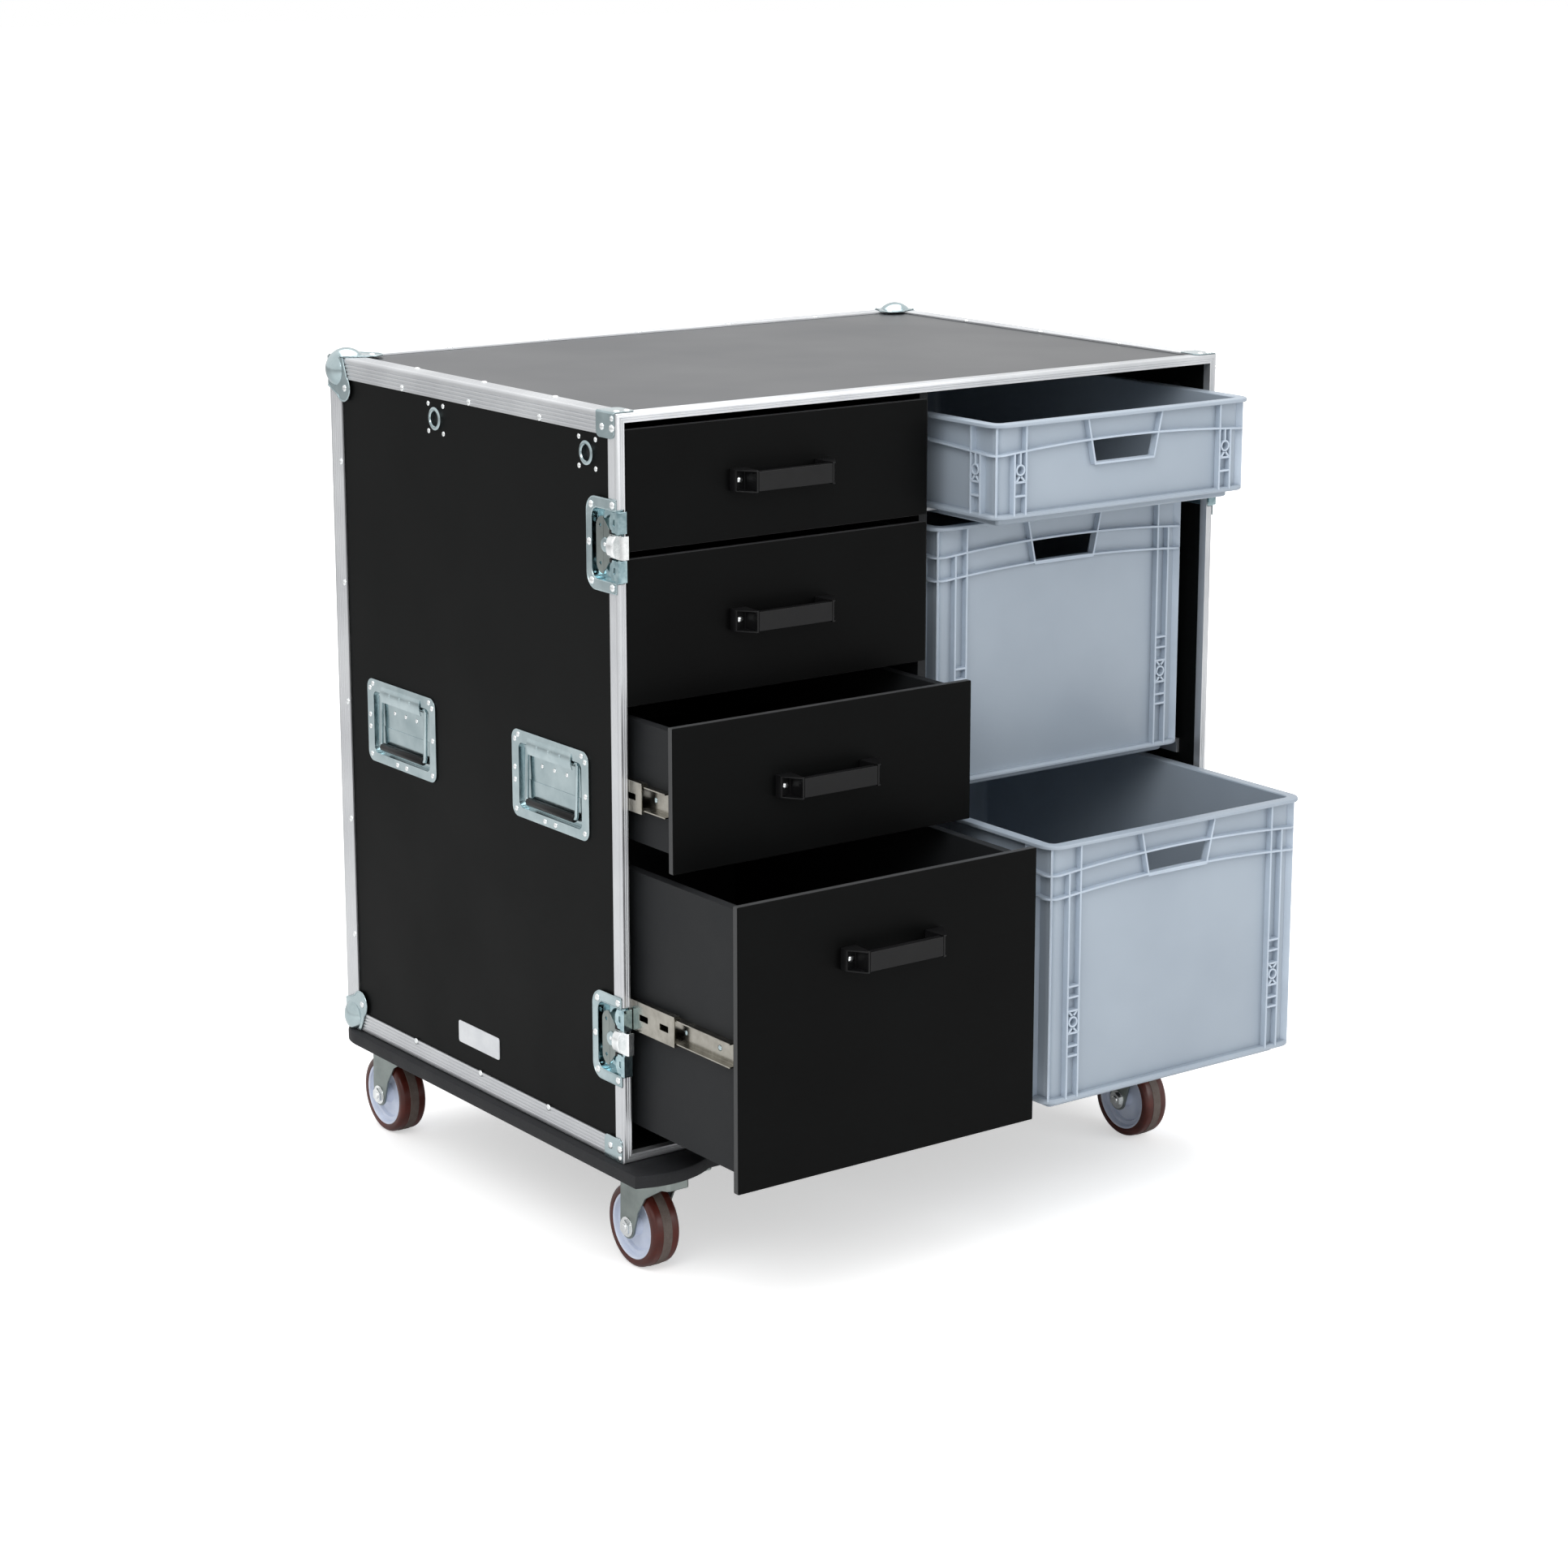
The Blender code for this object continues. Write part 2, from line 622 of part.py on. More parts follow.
def build_ball_corner(side, top):
    """A ball cap with an ear on each free face, riveted over a rear corner. The board is under two."""
    name = f"{'upper' if top else 'lower'}_{side_name(side)}_ball_corner"
    edge_x, edge_z, up = inward(side, 0), CASE_H if top else 0, 1 if top else -1
    centre = (inward(side, BALL_IN), CASE_D - BALL_IN, edge_z - up * BALL_IN)
    mesh = bmesh.new()
    bmesh.ops.create_uvsphere(
        mesh, u_segments=14, v_segments=8, radius=BALL_R, matrix=Matrix.Translation(centre)
    )
    cap = finish(name, mesh, ZINC, origin=centre)
    out, into = PLATE + GAP, EAR_SEAT
    ears = {
        "X": ((CASE_D, edge_z), (-1, -up), edge_x + side * out, inward(side, into)),
        "Y": ((edge_x, edge_z), (-side, -up), CASE_D + out, CASE_D - into),
    }
    if top:
        ears["Z"] = ((edge_x, CASE_D), (-side, -1), edge_z + out, edge_z - into)
    for axis, (corner, way, a, b) in ears.items():
        mesh = bmesh.new()
        add_prism(mesh, ear_outline(corner, way), min(a, b), max(a, b), axis)
        join(cap, helper(f"{name}_ear_{axis.lower()}", mesh))
    for axis in range(3):
        depth = [-GAP, -GAP, -GAP]
        depth[axis] = INNER - GAP
        x0, x1 = sorted((0, inward(side, depth[0])))
        z0, z1 = sorted((CASE_H / 2, edge_z - up * depth[2]))
        mesh = bmesh.new()
        add_box(mesh, x0, x1, CASE_D / 2, CASE_D - depth[1], z0, z1)
        cut(cap, helper(f"{name}_cutter_{'xyz'[axis]}", mesh))
    if not top:
        mesh = bmesh.new()
        add_box(
            mesh, min(0, 2 * edge_x), max(0, 2 * edge_x), CASE_D / 2, CASE_D + BALL_R, -BALL_R, SKIN - GAP
        )
        cut(cap, helper(f"{name}_foot_cutter", mesh))


def build_rear_frame():
    """The profile round the back, with the four depth edges that run forward from it."""
    r = EDGE_ROUND
    bend = [(d, CASE_D - y) for d, y in circle(r, 3, math.pi, math.pi / 2, (r, r))]
    profile = [(0, CASE_D - REAR_FLANGE)] + bend + [
        (REAR_FLANGE, CASE_D), (REAR_FLANGE, CASE_D - SKIN), (SKIN, CASE_D - SKIN),
        (SKIN, CASE_D - REAR_FLANGE),
    ]
    mesh = bmesh.new()
    mitred_ring(mesh, profile)
    frame = finish("rear_frame", mesh, ALUMINIUM)
    mesh = bmesh.new()
    for side in (-1, 1):
        for edge_z, up in ((CASE_H, 1), (0, -1)):
            bend = circle(r, 3, math.pi, math.pi / 2, (r, r))
            section = [(0, EDGE_FLANGE)] + bend + [
                (EDGE_FLANGE, 0), (EDGE_FLANGE, SKIN), (SKIN, SKIN), (SKIN, EDGE_FLANGE)
            ]
            outline = [(inward(side, d), edge_z - up * h) for d, h in section]
            add_prism(mesh, outline, FRONT_FLANGE + GAP, CASE_D - REAR_FLANGE / 2, "Y")
    join(frame, helper("depth_edges", mesh))
    mesh = bmesh.new()
    for x in (LEFT, RIGHT):
        for z in (0, CASE_H):
            add_box(
                mesh, x - INNER, x + INNER, CASE_D - INNER, CASE_D + INNER, z - INNER, z + INNER
            )
    cut(frame, helper("corner_cutter", mesh))


# Latches


def build_latch(side, level, z):
    """A latch dish open to the front, with its hook and spindle, and the folding key."""
    name = f"{side_name(side)}_{level}_latch"
    back = INNER - 2 * GAP
    half = LATCH_H / 2
    tray = LATCH_TRAY_HALF

    def prism(mesh, outline, near, far):
        low, high = sorted((inward(side, near), inward(side, far)))
        add_prism(mesh, outline, low, high, "X")

    mesh = bmesh.new()
    outline = rounded(EDGE_ROUND, LATCH_Y, z - half, z + half, LATCH_ROUND, (0, 1, 1, 0))
    prism(mesh, outline, -PLATE - GAP, -GAP)
    dish = finish(f"{name}_dish", mesh, ZINC)
    mesh = bmesh.new()
    outline = rounded(
        FRONT_FLANGE + GAP, LATCH_Y - GAP, z - half + GAP, z + half - GAP, LATCH_ROUND, (0, 1, 1, 0)
    )
    prism(mesh, outline, -2 * GAP, SKIN)
    join(dish, helper(f"{name}_pad", mesh))
    mesh = bmesh.new()
    outline = rounded(
        GAP, LATCH_TRAY_Y + PLATE, z - tray - PLATE, z + tray + PLATE, TRAY_ROUND, (0, 1, 1, 0)
    )
    prism(mesh, outline, -3 * GAP, back)
    join(dish, helper(f"{name}_tray", mesh))
    mesh = bmesh.new()
    outline = rounded(-0.01, LATCH_TRAY_Y, z - tray, z + tray, TRAY_ROUND - PLATE / 2, (0, 1, 1, 0))
    prism(mesh, outline, -0.01, TRAY_DEPTH)
    cut(dish, helper(f"{name}_pocket", mesh))

    disc = KEY_DEPTH + KEY_T / 2 + GAP
    mesh = bmesh.new()
    prism(mesh, circle(SPINDLE_R, 12, centre=(SPINDLE_Y, z)), disc, TRAY_DEPTH + PLATE / 2)
    join(dish, helper(f"{name}_spindle", mesh))
    mesh = bmesh.new()
    prism(mesh, circle(BOSS_R, 8, centre=(SPINDLE_Y, z)), -2 * GAP, TRAY_DEPTH)
    join(dish, helper(f"{name}_boss", mesh))
    mesh = bmesh.new()
    end = SPINDLE_Y - SPINDLE_R - GAP
    top, base = HOOK_DEPTH, TRAY_DEPTH - GAP
    hook = [
        (-HOOK_OVER, top), (end, top), (end, base), (end - HOOK_OVER / 2, base),
        (end - HOOK_OVER / 2, top + HOOK_T), (HOOK_T - HOOK_OVER, top + HOOK_T),
        (HOOK_T - HOOK_OVER, base), (-HOOK_OVER, base),
    ]
    placed = [(inward(side, depth), y) for y, depth in hook]
    add_prism(mesh, placed, z - HOOK_W / 2, z + HOOK_W / 2, "Z")
    finish(f"{name}_hook", mesh, ZINC, origin=(inward(side, base), end, z))

    notch = BOSS_R + 3 * GAP
    half_l = KEY_L / 2
    mesh = bmesh.new()
    outer = rounded(SPINDLE_Y, SPINDLE_Y + KEY_W, z - half_l, z + half_l, KEY_W * 0.7, (0, 1, 1, 0))
    inner = circle(notch, 5, math.pi / 2, -math.pi, (SPINDLE_Y, z))
    prism(mesh, outer + inner, KEY_DEPTH - KEY_T / 2, KEY_DEPTH + KEY_T / 2)
    finish(f"{name}_key", mesh, ZINC, origin=(inward(side, KEY_DEPTH), SPINDLE_Y, z))


# Carry handles


def build_handle(side, place, y):
    """A recessed dish with a hinge cover, and the bail that swings out of it."""
    name = f"{side_name(side)}_{place}_handle"
    back = INNER - 2 * GAP
    half, width = HANDLE_H / 2, HANDLE_W / 2
    tray = HANDLE_TRAY_W

    def prism(mesh, outline, near, far):
        low, high = sorted((inward(side, near), inward(side, far)))
        add_prism(mesh, outline, low, high, "X")

    mesh = bmesh.new()
    outline = rounded(y - width, y + width, HANDLE_Z - half, HANDLE_Z + half, HANDLE_ROUND)
    prism(mesh, outline, SKIN - HANDLE_PLATE, SKIN)
    dish = finish(f"{name}_dish", mesh, ZINC)
    mesh = bmesh.new()
    outline = rounded(
        y - tray - PLATE, y + tray + PLATE, HANDLE_TRAY_LOW - PLATE, HANDLE_TRAY_TOP + PLATE,
        HANDLE_TRAY_ROUND,
    )
    prism(mesh, outline, SKIN - GAP, back)
    join(dish, helper(f"{name}_tray", mesh))
    mesh = bmesh.new()
    outline = rounded(
        y - tray, y + tray, HANDLE_TRAY_LOW, HANDLE_TRAY_TOP, HANDLE_TRAY_ROUND - PLATE / 2
    )
    prism(mesh, outline, -INNER, TRAY_DEPTH)
    cut(dish, helper(f"{name}_pocket", mesh))
    mesh = bmesh.new()
    cover = COVER_W / 2
    outline = rounded(y - cover, y + cover, PIVOT_Z - COVER_H / 2, HANDLE_Z + half - COVER_DROP, COVER_ROUND)
    prism(mesh, outline, PIVOT_DEPTH - BAIL_R - GAP - PLATE, PIVOT_DEPTH - BAIL_R - GAP)
    join(dish, helper(f"{name}_cover", mesh))

    grip_z = HANDLE_Z - half + GRIP_LIFT
    grip_depth = TRAY_DEPTH - GAP - GRIP_R
    pivot = (inward(side, PIVOT_DEPTH), y, PIVOT_Z)
    arm = GRIP_L / 2 + BAIL_R + 0.001
    mesh = bmesh.new()
    add_rod(mesh, GRIP_R, 10, y - GRIP_L / 2, y + GRIP_L / 2, "Y", (inward(side, grip_depth), grip_z))
    bail = finish(f"{name}_bail", mesh, ZINC, origin=pivot)
    mesh = bmesh.new()
    add_rod(mesh, BAIL_R, 6, y - arm - BAIL_R, y + arm + BAIL_R, "Y", (pivot[0], PIVOT_Z))
    join(bail, helper(f"{name}_pivot_rod", mesh))
    mesh = bmesh.new()
    add_rod(
        mesh, BAIL_R * 0.94, 6, y - arm - BAIL_R, y + arm + BAIL_R, "Y",
        (inward(side, grip_depth), grip_z),
    )
    join(bail, helper(f"{name}_grip_rod", mesh))
    mesh = bmesh.new()
    for end in (-1, 1):
        low = Vector((inward(side, grip_depth), y + end * arm, grip_z))
        high = Vector((pivot[0], y + end * arm, PIVOT_Z))
        ring = circle(BAIL_R * 0.9, 6)
        add_loft(mesh, [[(p.x + a, p.y + b, p.z) for a, b in ring] for p in (low, high)])
    join(bail, helper(f"{name}_arms", mesh))


# Castor board and castors


def board_outline():
    """The board's outline, mirrored: side face, front facet and lobe, rounded rear corner."""
    edge = CASE_W / 2 + BOARD_SIDE
    lobe_x = CASE_W / 2 - LOBE_X
    start = math.atan2(-BOARD_CORNER_Y - LOBE_Y - 0.006, edge - BOARD_FACET - lobe_x)
    end = -math.pi / 2 - math.acos((LOBE_Y + BOARD_FRONT) / LOBE_R)
    lobe = circle(LOBE_R, 9, start, end - start, (lobe_x, LOBE_Y))
    rear_place = (edge - BOARD_REAR_R, CASE_D - BOARD_REAR)
    rear = circle(BOARD_REAR_R, 7, math.pi / 2, -math.pi / 2, rear_place)
    half = [(edge, -BOARD_CORNER_Y)] + lobe
    right = rear + half
    left = [(-x, y) for x, y in reversed(right)]
    return right + left


def castor_places():
    """(name, side, y, has a brake) of the four castors."""
    return [
        (f"{end}_{side_name(side)}", side, y, brake)
        for end, y, brake in (("front", CASTOR_FRONT_Y, True), ("rear", CASTOR_REAR_Y, False))
        for side in (-1, 1)
    ]


def build_board():
    """The castor board, with the fixed plate and race of each castor."""
    mesh = bmesh.new()
    add_prism(mesh, board_outline(), -GAP - BOARD_T, -GAP, "Z")
    board = finish("castor_board", mesh, DRAWER_PLY)
    under = -GAP - BOARD_T
    plates, races = bmesh.new(), bmesh.new()
    w, length, t = CASTOR_PLATE
    for _, side, y, _ in castor_places():
        x = inward(side, CASTOR_X)
        outline = rounded(x - w / 2, x + w / 2, y - length / 2, y + length / 2, PLATE_ROUND)
        add_prism(plates, outline, under - t, under + GAP, "Z")
        add_rod(races, RACE_R, 16, under - RACE_H + GAP, under - t / 2, "Z", (x, y))
    join(board, helper("castor_plates", plates))
    join(board, helper("castor_races", races))


def build_castor(name, side, y, brake):
    """A swivel fork with its axle bolt, a wheel, and at the front a brake."""
    x = inward(side, CASTOR_X)
    under = -GAP - BOARD_T
    head = under - RACE_H
    axle_y, axle_z = y + TRAIL, under - AXLE_Z
    wide = FORK_IN + FORK_T
    tip = AXLE_R * 2.2
    mesh = bmesh.new()
    nose = y - FORK_HALF
    tail = y + FORK_HALF
    outline = [
        (nose, head), (nose, head - FORK_NOSE_H), (axle_y - tip, axle_z + tip * 0.3),
        *circle(tip, 5, math.pi, math.pi, (axle_y, axle_z)),
        (axle_y + tip, axle_z + tip), (tail, head - FORK_TAIL_H), (tail, head),
    ]
    outline = [p for i, p in enumerate(outline) if p != outline[i - 1]]
    add_prism(mesh, outline, x - wide, x + wide, "X")
    fork = finish(f"{name}_castor_fork", mesh, ZINC, origin=(x, y, head))
    mesh = bmesh.new()
    add_box(
        mesh, x - FORK_IN, x + FORK_IN, nose + FORK_T, axle_y + 4 * tip, axle_z - 4 * tip, head - HEAD_T
    )
    cut(fork, helper(f"{name}_fork_space", mesh))
    mesh = bmesh.new()
    bolt = wide + AXLE_PROUD
    add_rod(mesh, AXLE_R, 10, x - bolt, x + bolt, "X", (axle_y, axle_z))
    join(fork, helper(f"{name}_axle", mesh))
    mesh = bmesh.new()
    for end in (-1, 1):
        low, high = sorted((x + end * (wide - GAP), x + end * (wide + NUT_T)))
        add_rod(mesh, AXLE_R * 1.7, 6, low, high, "X", (axle_y, axle_z))
    join(fork, helper(f"{name}_nuts", mesh))

    w, h = WHEEL_W / 2, HUB_W / 2
    bore = AXLE_R + GAP
    half = [
        (FORK_IN - 0.001, bore), (FORK_IN - 0.001, bore + 0.006), (h * 0.5, HUB_R * 0.55),
        (h * 0.5, HUB_R * 0.86), (w, HUB_R), (w, WHEEL_R - 0.004), (w - 0.005, WHEEL_R),
    ]
    profile = half + [(-along, radius) for along, radius in reversed(half)]
    mesh = bmesh.new()
    add_turned(mesh, profile, 16, "X", (x, axle_y, axle_z))
    finish(f"{name}_castor_wheel", mesh, TREAD, origin=(x, axle_y, axle_z))

    if brake:
        add_brake(fork, name, x, y, head, wide)


def add_brake(fork, name, x, y, head, wide):
    """The pressed brake tread at the back of a front fork: a cap behind and beside it."""
    front, high = y + FORK_HALF - BRAKE_LAP, head - HEAD_T
    back = y + FORK_HALF + BRAKE_OUT
    low = high - BRAKE_H
    outline = [
        (front, low), (back - BRAKE_H / 2, low), (back, low + BRAKE_H / 2), (back, high - BRAKE_H / 4),
        (back - BRAKE_H / 4, high), (front, high),
    ]
    mesh = bmesh.new()
    add_prism(mesh, outline, x - wide - BRAKE_T, x + wide + BRAKE_T, "X")
    cap = helper(f"{name}_brake", mesh)
    mesh = bmesh.new()
    add_box(
        mesh, x - wide + BRAKE_T / 2, x + wide - BRAKE_T / 2, front - BRAKE_LAP, back - BRAKE_T,
        low - BRAKE_H, high - BRAKE_T,
    )
    cut(cap, helper(f"{name}_brake_space", mesh))
    join(fork, cap)


# Drawers


def build_drawer(number, low, high, out, pull_drop):
    """A drawer: front panel, open box and the slide members on its sides; with its bow pull."""
    name = f"drawer_{number}"
    face = FRONT_SET - out
    origin = (PULL_X, face, (low + high) / 2)
    mesh = bmesh.new()
    add_box(mesh, DRAWER_FACE_X, DRAWER_FACE_X + DRAWER_FACE_W, face, face + FRONT_T, low, high)
    drawer = finish(name, mesh, DRAWER_PLY, origin=origin)
    x0, x1 = DRAWER_BOX_X, DRAWER_BOX_X + DRAWER_BOX_W
    y0, y1 = face + FRONT_T / 2, face + FRONT_T + DRAWER_L
    z0, z1 = low + SIDE_LIFT, high - SIDE_DROP
    mesh = bmesh.new()
    add_box(mesh, x0, x1, y0, y1, z0, z1)
    join(drawer, helper(f"{name}_box", mesh))
    mesh = bmesh.new()
    side = DRAWER_SIDE
    add_box(mesh, x0 + side, x1 - side, face + FRONT_T + side, y1 - side, z0 + DRAWER_FLOOR, z1 + 0.05)
    cut(drawer, helper(f"{name}_space", mesh))
    mesh = bmesh.new()
    z = slide_z(low, high)
    height = SLIDE_H - 2 * (SLIDE_SHEET + GAP + BALL_CAGE + GAP)
    start = MIDDLE_MEMBER[0] + SLIDE_SHEET + 2 * GAP
    for wall, sign in ((DRAWER_BOX_X - SLIDE_SPACE, 1), (DRAWER_BOX_X + DRAWER_BOX_W + SLIDE_SPACE, -1)):
        h = height / 2
        web = SLIDE_SPACE - SLIDE_SHEET
        section = [
            (start, -h), (SLIDE_SPACE + GAP, -h), (SLIDE_SPACE + GAP, h), (start, h),
            (start, h - SLIDE_SHEET), (web, h - SLIDE_SHEET), (web, SLIDE_SHEET - h),
            (start, SLIDE_SHEET - h),
        ]
        outline = [(wall + sign * a, z + b) for a, b in section]
        begin = face + SLIDE_SETBACK - FRONT_SET
        add_prism(mesh, outline, begin, begin + SLIDE_L, "Y")
    join(drawer, helper(f"{name}_members", mesh))

    build_pull(number, face, (low + high) / 2 - pull_drop)
    for side_sign in (-1, 1):
        build_middle_member(number, side_sign, z, out)


def build_pull(number, face, z):
    """A bow pull: end blocks, slanted shoulders and a straight bar, with splayed inner faces."""
    half, bar = PULL_W / 2, PULL_BAR / 2
    foot, deep = half - PULL_FOOT, PULL_OUT - PULL_T
    right = [
        (bar, -PULL_OUT), (half, -PULL_BLOCK), (half, 0), (foot, 0),
        (foot - PULL_SPLAY, PULL_CHAMFER - deep), (foot - PULL_SPLAY - 1.5 * PULL_CHAMFER, -deep),
    ]
    left = [(-x, y) for x, y in reversed(right)]
    outline = [(PULL_X + x, face - GAP + y) for x, y in right + left]
    mesh = bmesh.new()
    add_prism(mesh, outline, z - PULL_STRAP / 2, z + PULL_STRAP / 2, "Z")
    finish(f"drawer_{number}_pull", mesh, BLACK_PLASTIC, origin=(PULL_X, face - GAP, z))


def build_middle_member(number, side, z, out):
    """The slide member between case and drawer, which moves half as far as the drawer."""
    wall, sign = (LEFT + INNER, 1) if side < 0 else (DIVIDER_X, -1)
    height = SLIDE_H - 2 * (SLIDE_SHEET + GAP)
    section = channel(wall, sign, MIDDLE_MEMBER[0], height, MIDDLE_MEMBER[1], BALL_CAGE, SLIDE_SHEET)
    outline = [(x, z + dz) for x, dz in section]
    begin = SLIDE_SETBACK - out / 2
    mesh = bmesh.new()
    add_prism(mesh, outline, begin, begin + SLIDE_L, "Y")
    place = (wall + sign * sum(MIDDLE_MEMBER) / 2, begin, z)
    finish(f"drawer_{number}_{side_name(side)}_middle_slide", mesh, ZINC, origin=place)


# Containers


def rim_outline(x0, x1, y0, y1, inset):
    """A rounded rectangle inside the rim's outline, with its straight sides in BAND_SPANS runs."""
    radius = max(RIM_CORNER - inset, RIM_CORNER * 0.2)
    corners = rounded(x0 + inset, x1 - inset, y0 + inset, y1 - inset, radius, count=CORNER_POINTS)
    points = []
    for i, (x, y) in enumerate(corners):
        points.append((x, y))
        if i % CORNER_POINTS == CORNER_POINTS - 1:
            u, v = corners[(i + 1) % len(corners)]
            for k in range(1, BAND_SPANS):
                points.append((x + (u - x) * k / BAND_SPANS, y + (v - y) * k / BAND_SPANS))
    return points


def band_drop(along, length):
    """How far the first band lies under the rim's top, a distance along a side from its corner."""
    share = min(1, max(0, 2 * min(along, length - along) / length))
    return BAND_CROWN + BAND_ARCH * (1 - share) ** 2


def arched_loop(x0, x1, y0, y1, inset, top):
    """A loop that follows the first band's arch on all four sides, under a given top."""
    loop = []
    for x, y in rim_outline(x0, x1, y0, y1, inset):
        on_end = min(y - y0, y1 - y) < min(x - x0, x1 - x)
        drop = band_drop(x - x0, x1 - x0) if on_end else band_drop(y - y0, y1 - y0)
        loop.append((x, y, top - drop))
    return loop


def build_container(name, base, height, out):
    """A moulded container: foot, ledge, walls, arched bands, ribs, hand-holes and rim."""
    x0, x1 = BOX_X - BOX_W / 2, BOX_X + BOX_W / 2
    y0 = BOX_SETBACK - out
    y1 = y0 + BOX_L
    top = base + height
    inner = FOOT_INSET + WALL
    lower = [
        (FOOT_INSET, base), (FOOT_INSET, base + FOOT), (RIB_INSET, base + FOOT),
        (RIB_INSET, base + FOOT + LEDGE), (WALL_INSET, base + FOOT + LEDGE),
    ]
    upper = [
        (WALL_INSET, top - RIM), (0, top - RIM), (0, top), (WALL_INSET + WALL, top),
        (WALL_INSET + WALL, base + FOOT + WALL), (inner, base + FOOT + WALL), (inner, base + WALL),
    ]
    loops = [[(x, y, z) for x, y in rim_outline(x0, x1, y0, y1, inset)] for inset, z in lower]
    for below in (BAND_STEP, 0) if height > 6 * BAND_STEP else (0,):
        for inset, fall in ((WALL_INSET, RIB), (RIB_INSET, RIB), (RIB_INSET, 0), (WALL_INSET, 0)):
            loops.append(arched_loop(x0, x1, y0, y1, inset, top - below - fall))
    loops += [[(x, y, z) for x, y in rim_outline(x0, x1, y0, y1, inset)] for inset, z in upper]
    mesh = bmesh.new()
    add_loft(mesh, loops)
    mesh.normal_update()
    bmesh.ops.dissolve_limit(mesh, angle_limit=FLAT, verts=mesh.verts, edges=mesh.edges)
    box = finish(name, mesh, GREY_PLASTIC, origin=(BOX_X, y0, base))
    join(box, helper(f"{name}_ribs", rib_mesh(x0, x1, y0, y1, base, top)))
    mesh = bmesh.new()
    for wall in (y0 + WALL_INSET, y1 - WALL_INSET - WALL):
        add_prism(mesh, hole_outline(top), wall - WALL, wall + 2 * WALL, "Y")
    cut(box, helper(f"{name}_hand_holes", mesh))


def hole_outline(top):
    """The hand-hole's trapezoid in (x, z), just under the first band."""
    high = top - band_drop(BOX_W / 2 - HOLE_TOP_W / 2, BOX_W) - RIB - GAP
    wide, narrow = HOLE_TOP_W / 2, HOLE_LOW_W / 2
    low = high - HOLE_H
    return [(BOX_X - wide, high), (BOX_X - narrow, low), (BOX_X + narrow, low), (BOX_X + wide, high)]


def rib_mesh(x0, x1, y0, y1, base, top):
    """Upright ribs along the faces and corners, and the frames of the hand-holes."""
    mesh = bmesh.new()
    low, high = base + FOOT + LEDGE / 2, top - RIM / 2
    outer, deep = RIB_INSET + GAP, WALL_INSET + WALL / 2
    t = RIB / 2
    for along in CORNER_RIBS:
        short = along < max(CORNER_RIBS)
        end_x = top - band_drop(along, x1 - x0) - t if short else high
        end_y = top - band_drop(along, y1 - y0) - t if short else high
        for x in (x0 + along, x1 - along):
            add_box(mesh, x - t, x + t, y0 + outer, y0 + deep, low, end_x)
            add_box(mesh, x - t, x + t, y1 - deep, y1 - outer, low, end_x)
        for y in (y0 + along, y1 - along):
            add_box(mesh, x0 + outer, x0 + deep, y - t, y + t, low, end_y)
            add_box(mesh, x1 - deep, x1 - outer, y - t, y + t, low, end_y)
    for sx, cx in ((-1, x0 + RIM_CORNER), (1, x1 - RIM_CORNER)):
        for sy, cy in ((-1, y0 + RIM_CORNER), (1, y1 - RIM_CORNER)):
            along = Vector((sx, sy)).normalized()
            across = Vector((-along.y, along.x)) * t
            near = Vector((cx, cy)) + along * (RIM_CORNER - deep)
            far = Vector((cx, cy)) + along * (RIM_CORNER - outer)
            outline = [near - across, far - across, far + across, near + across]
            add_prism(mesh, [tuple(p) for p in outline], low, high, "Z")
    hole_top, foot = hole_outline(top)[0][1], hole_outline(top)[1][1] - GAP
    wide, narrow = HOLE_TOP_W / 2 + GAP, HOLE_LOW_W / 2 + GAP
    lift = wide + (wide - narrow) / HOLE_H * (high - hole_top)
    frame = [
        (-lift - RIB, high), (-narrow - RIB, foot - RIB), (narrow + RIB, foot - RIB), (lift + RIB, high),
        (lift, high), (narrow, foot), (-narrow, foot), (-lift, high),
    ]
    for ends in ((y0 + outer, y0 + deep), (y1 - deep, y1 - outer)):
        add_prism(mesh, [(BOX_X + a, b) for a, b in frame], *ends, "Y")
    return mesh


build_panels()
build_divider()
build_front_frame()
build_rear_frame()
for side in (-1, 1):
    for top in (True, False):
        build_ball_corner(side, top)
    for level, z in LATCH_PLACES.items():
        build_latch(side, level, z)
    for place, y in HANDLE_PLACES.items():
        build_handle(side, place, y)
build_board()
for castor in castor_places():
    build_castor(*castor)
for i, (low, high) in enumerate(DRAWERS):
    build_drawer(i + 1, low, high, DRAWER_OUT[i], PULL_DROP[i])
for container in CONTAINERS:
    build_container(*container)
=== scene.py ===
"""Looks of a tool flight case: finishes, edge profiles, fittings, drawers, containers and castors.

Everything is drawn in the case's own frame, in metres: x from its middle to the right, y from its
front plane to the back and z from its underside up. Stock.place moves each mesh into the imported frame.
"""
from __future__ import annotations

import logging
import math
from dataclasses import dataclass, field
from enum import Enum

import bmesh
import bpy
from mathutils import Matrix, Vector


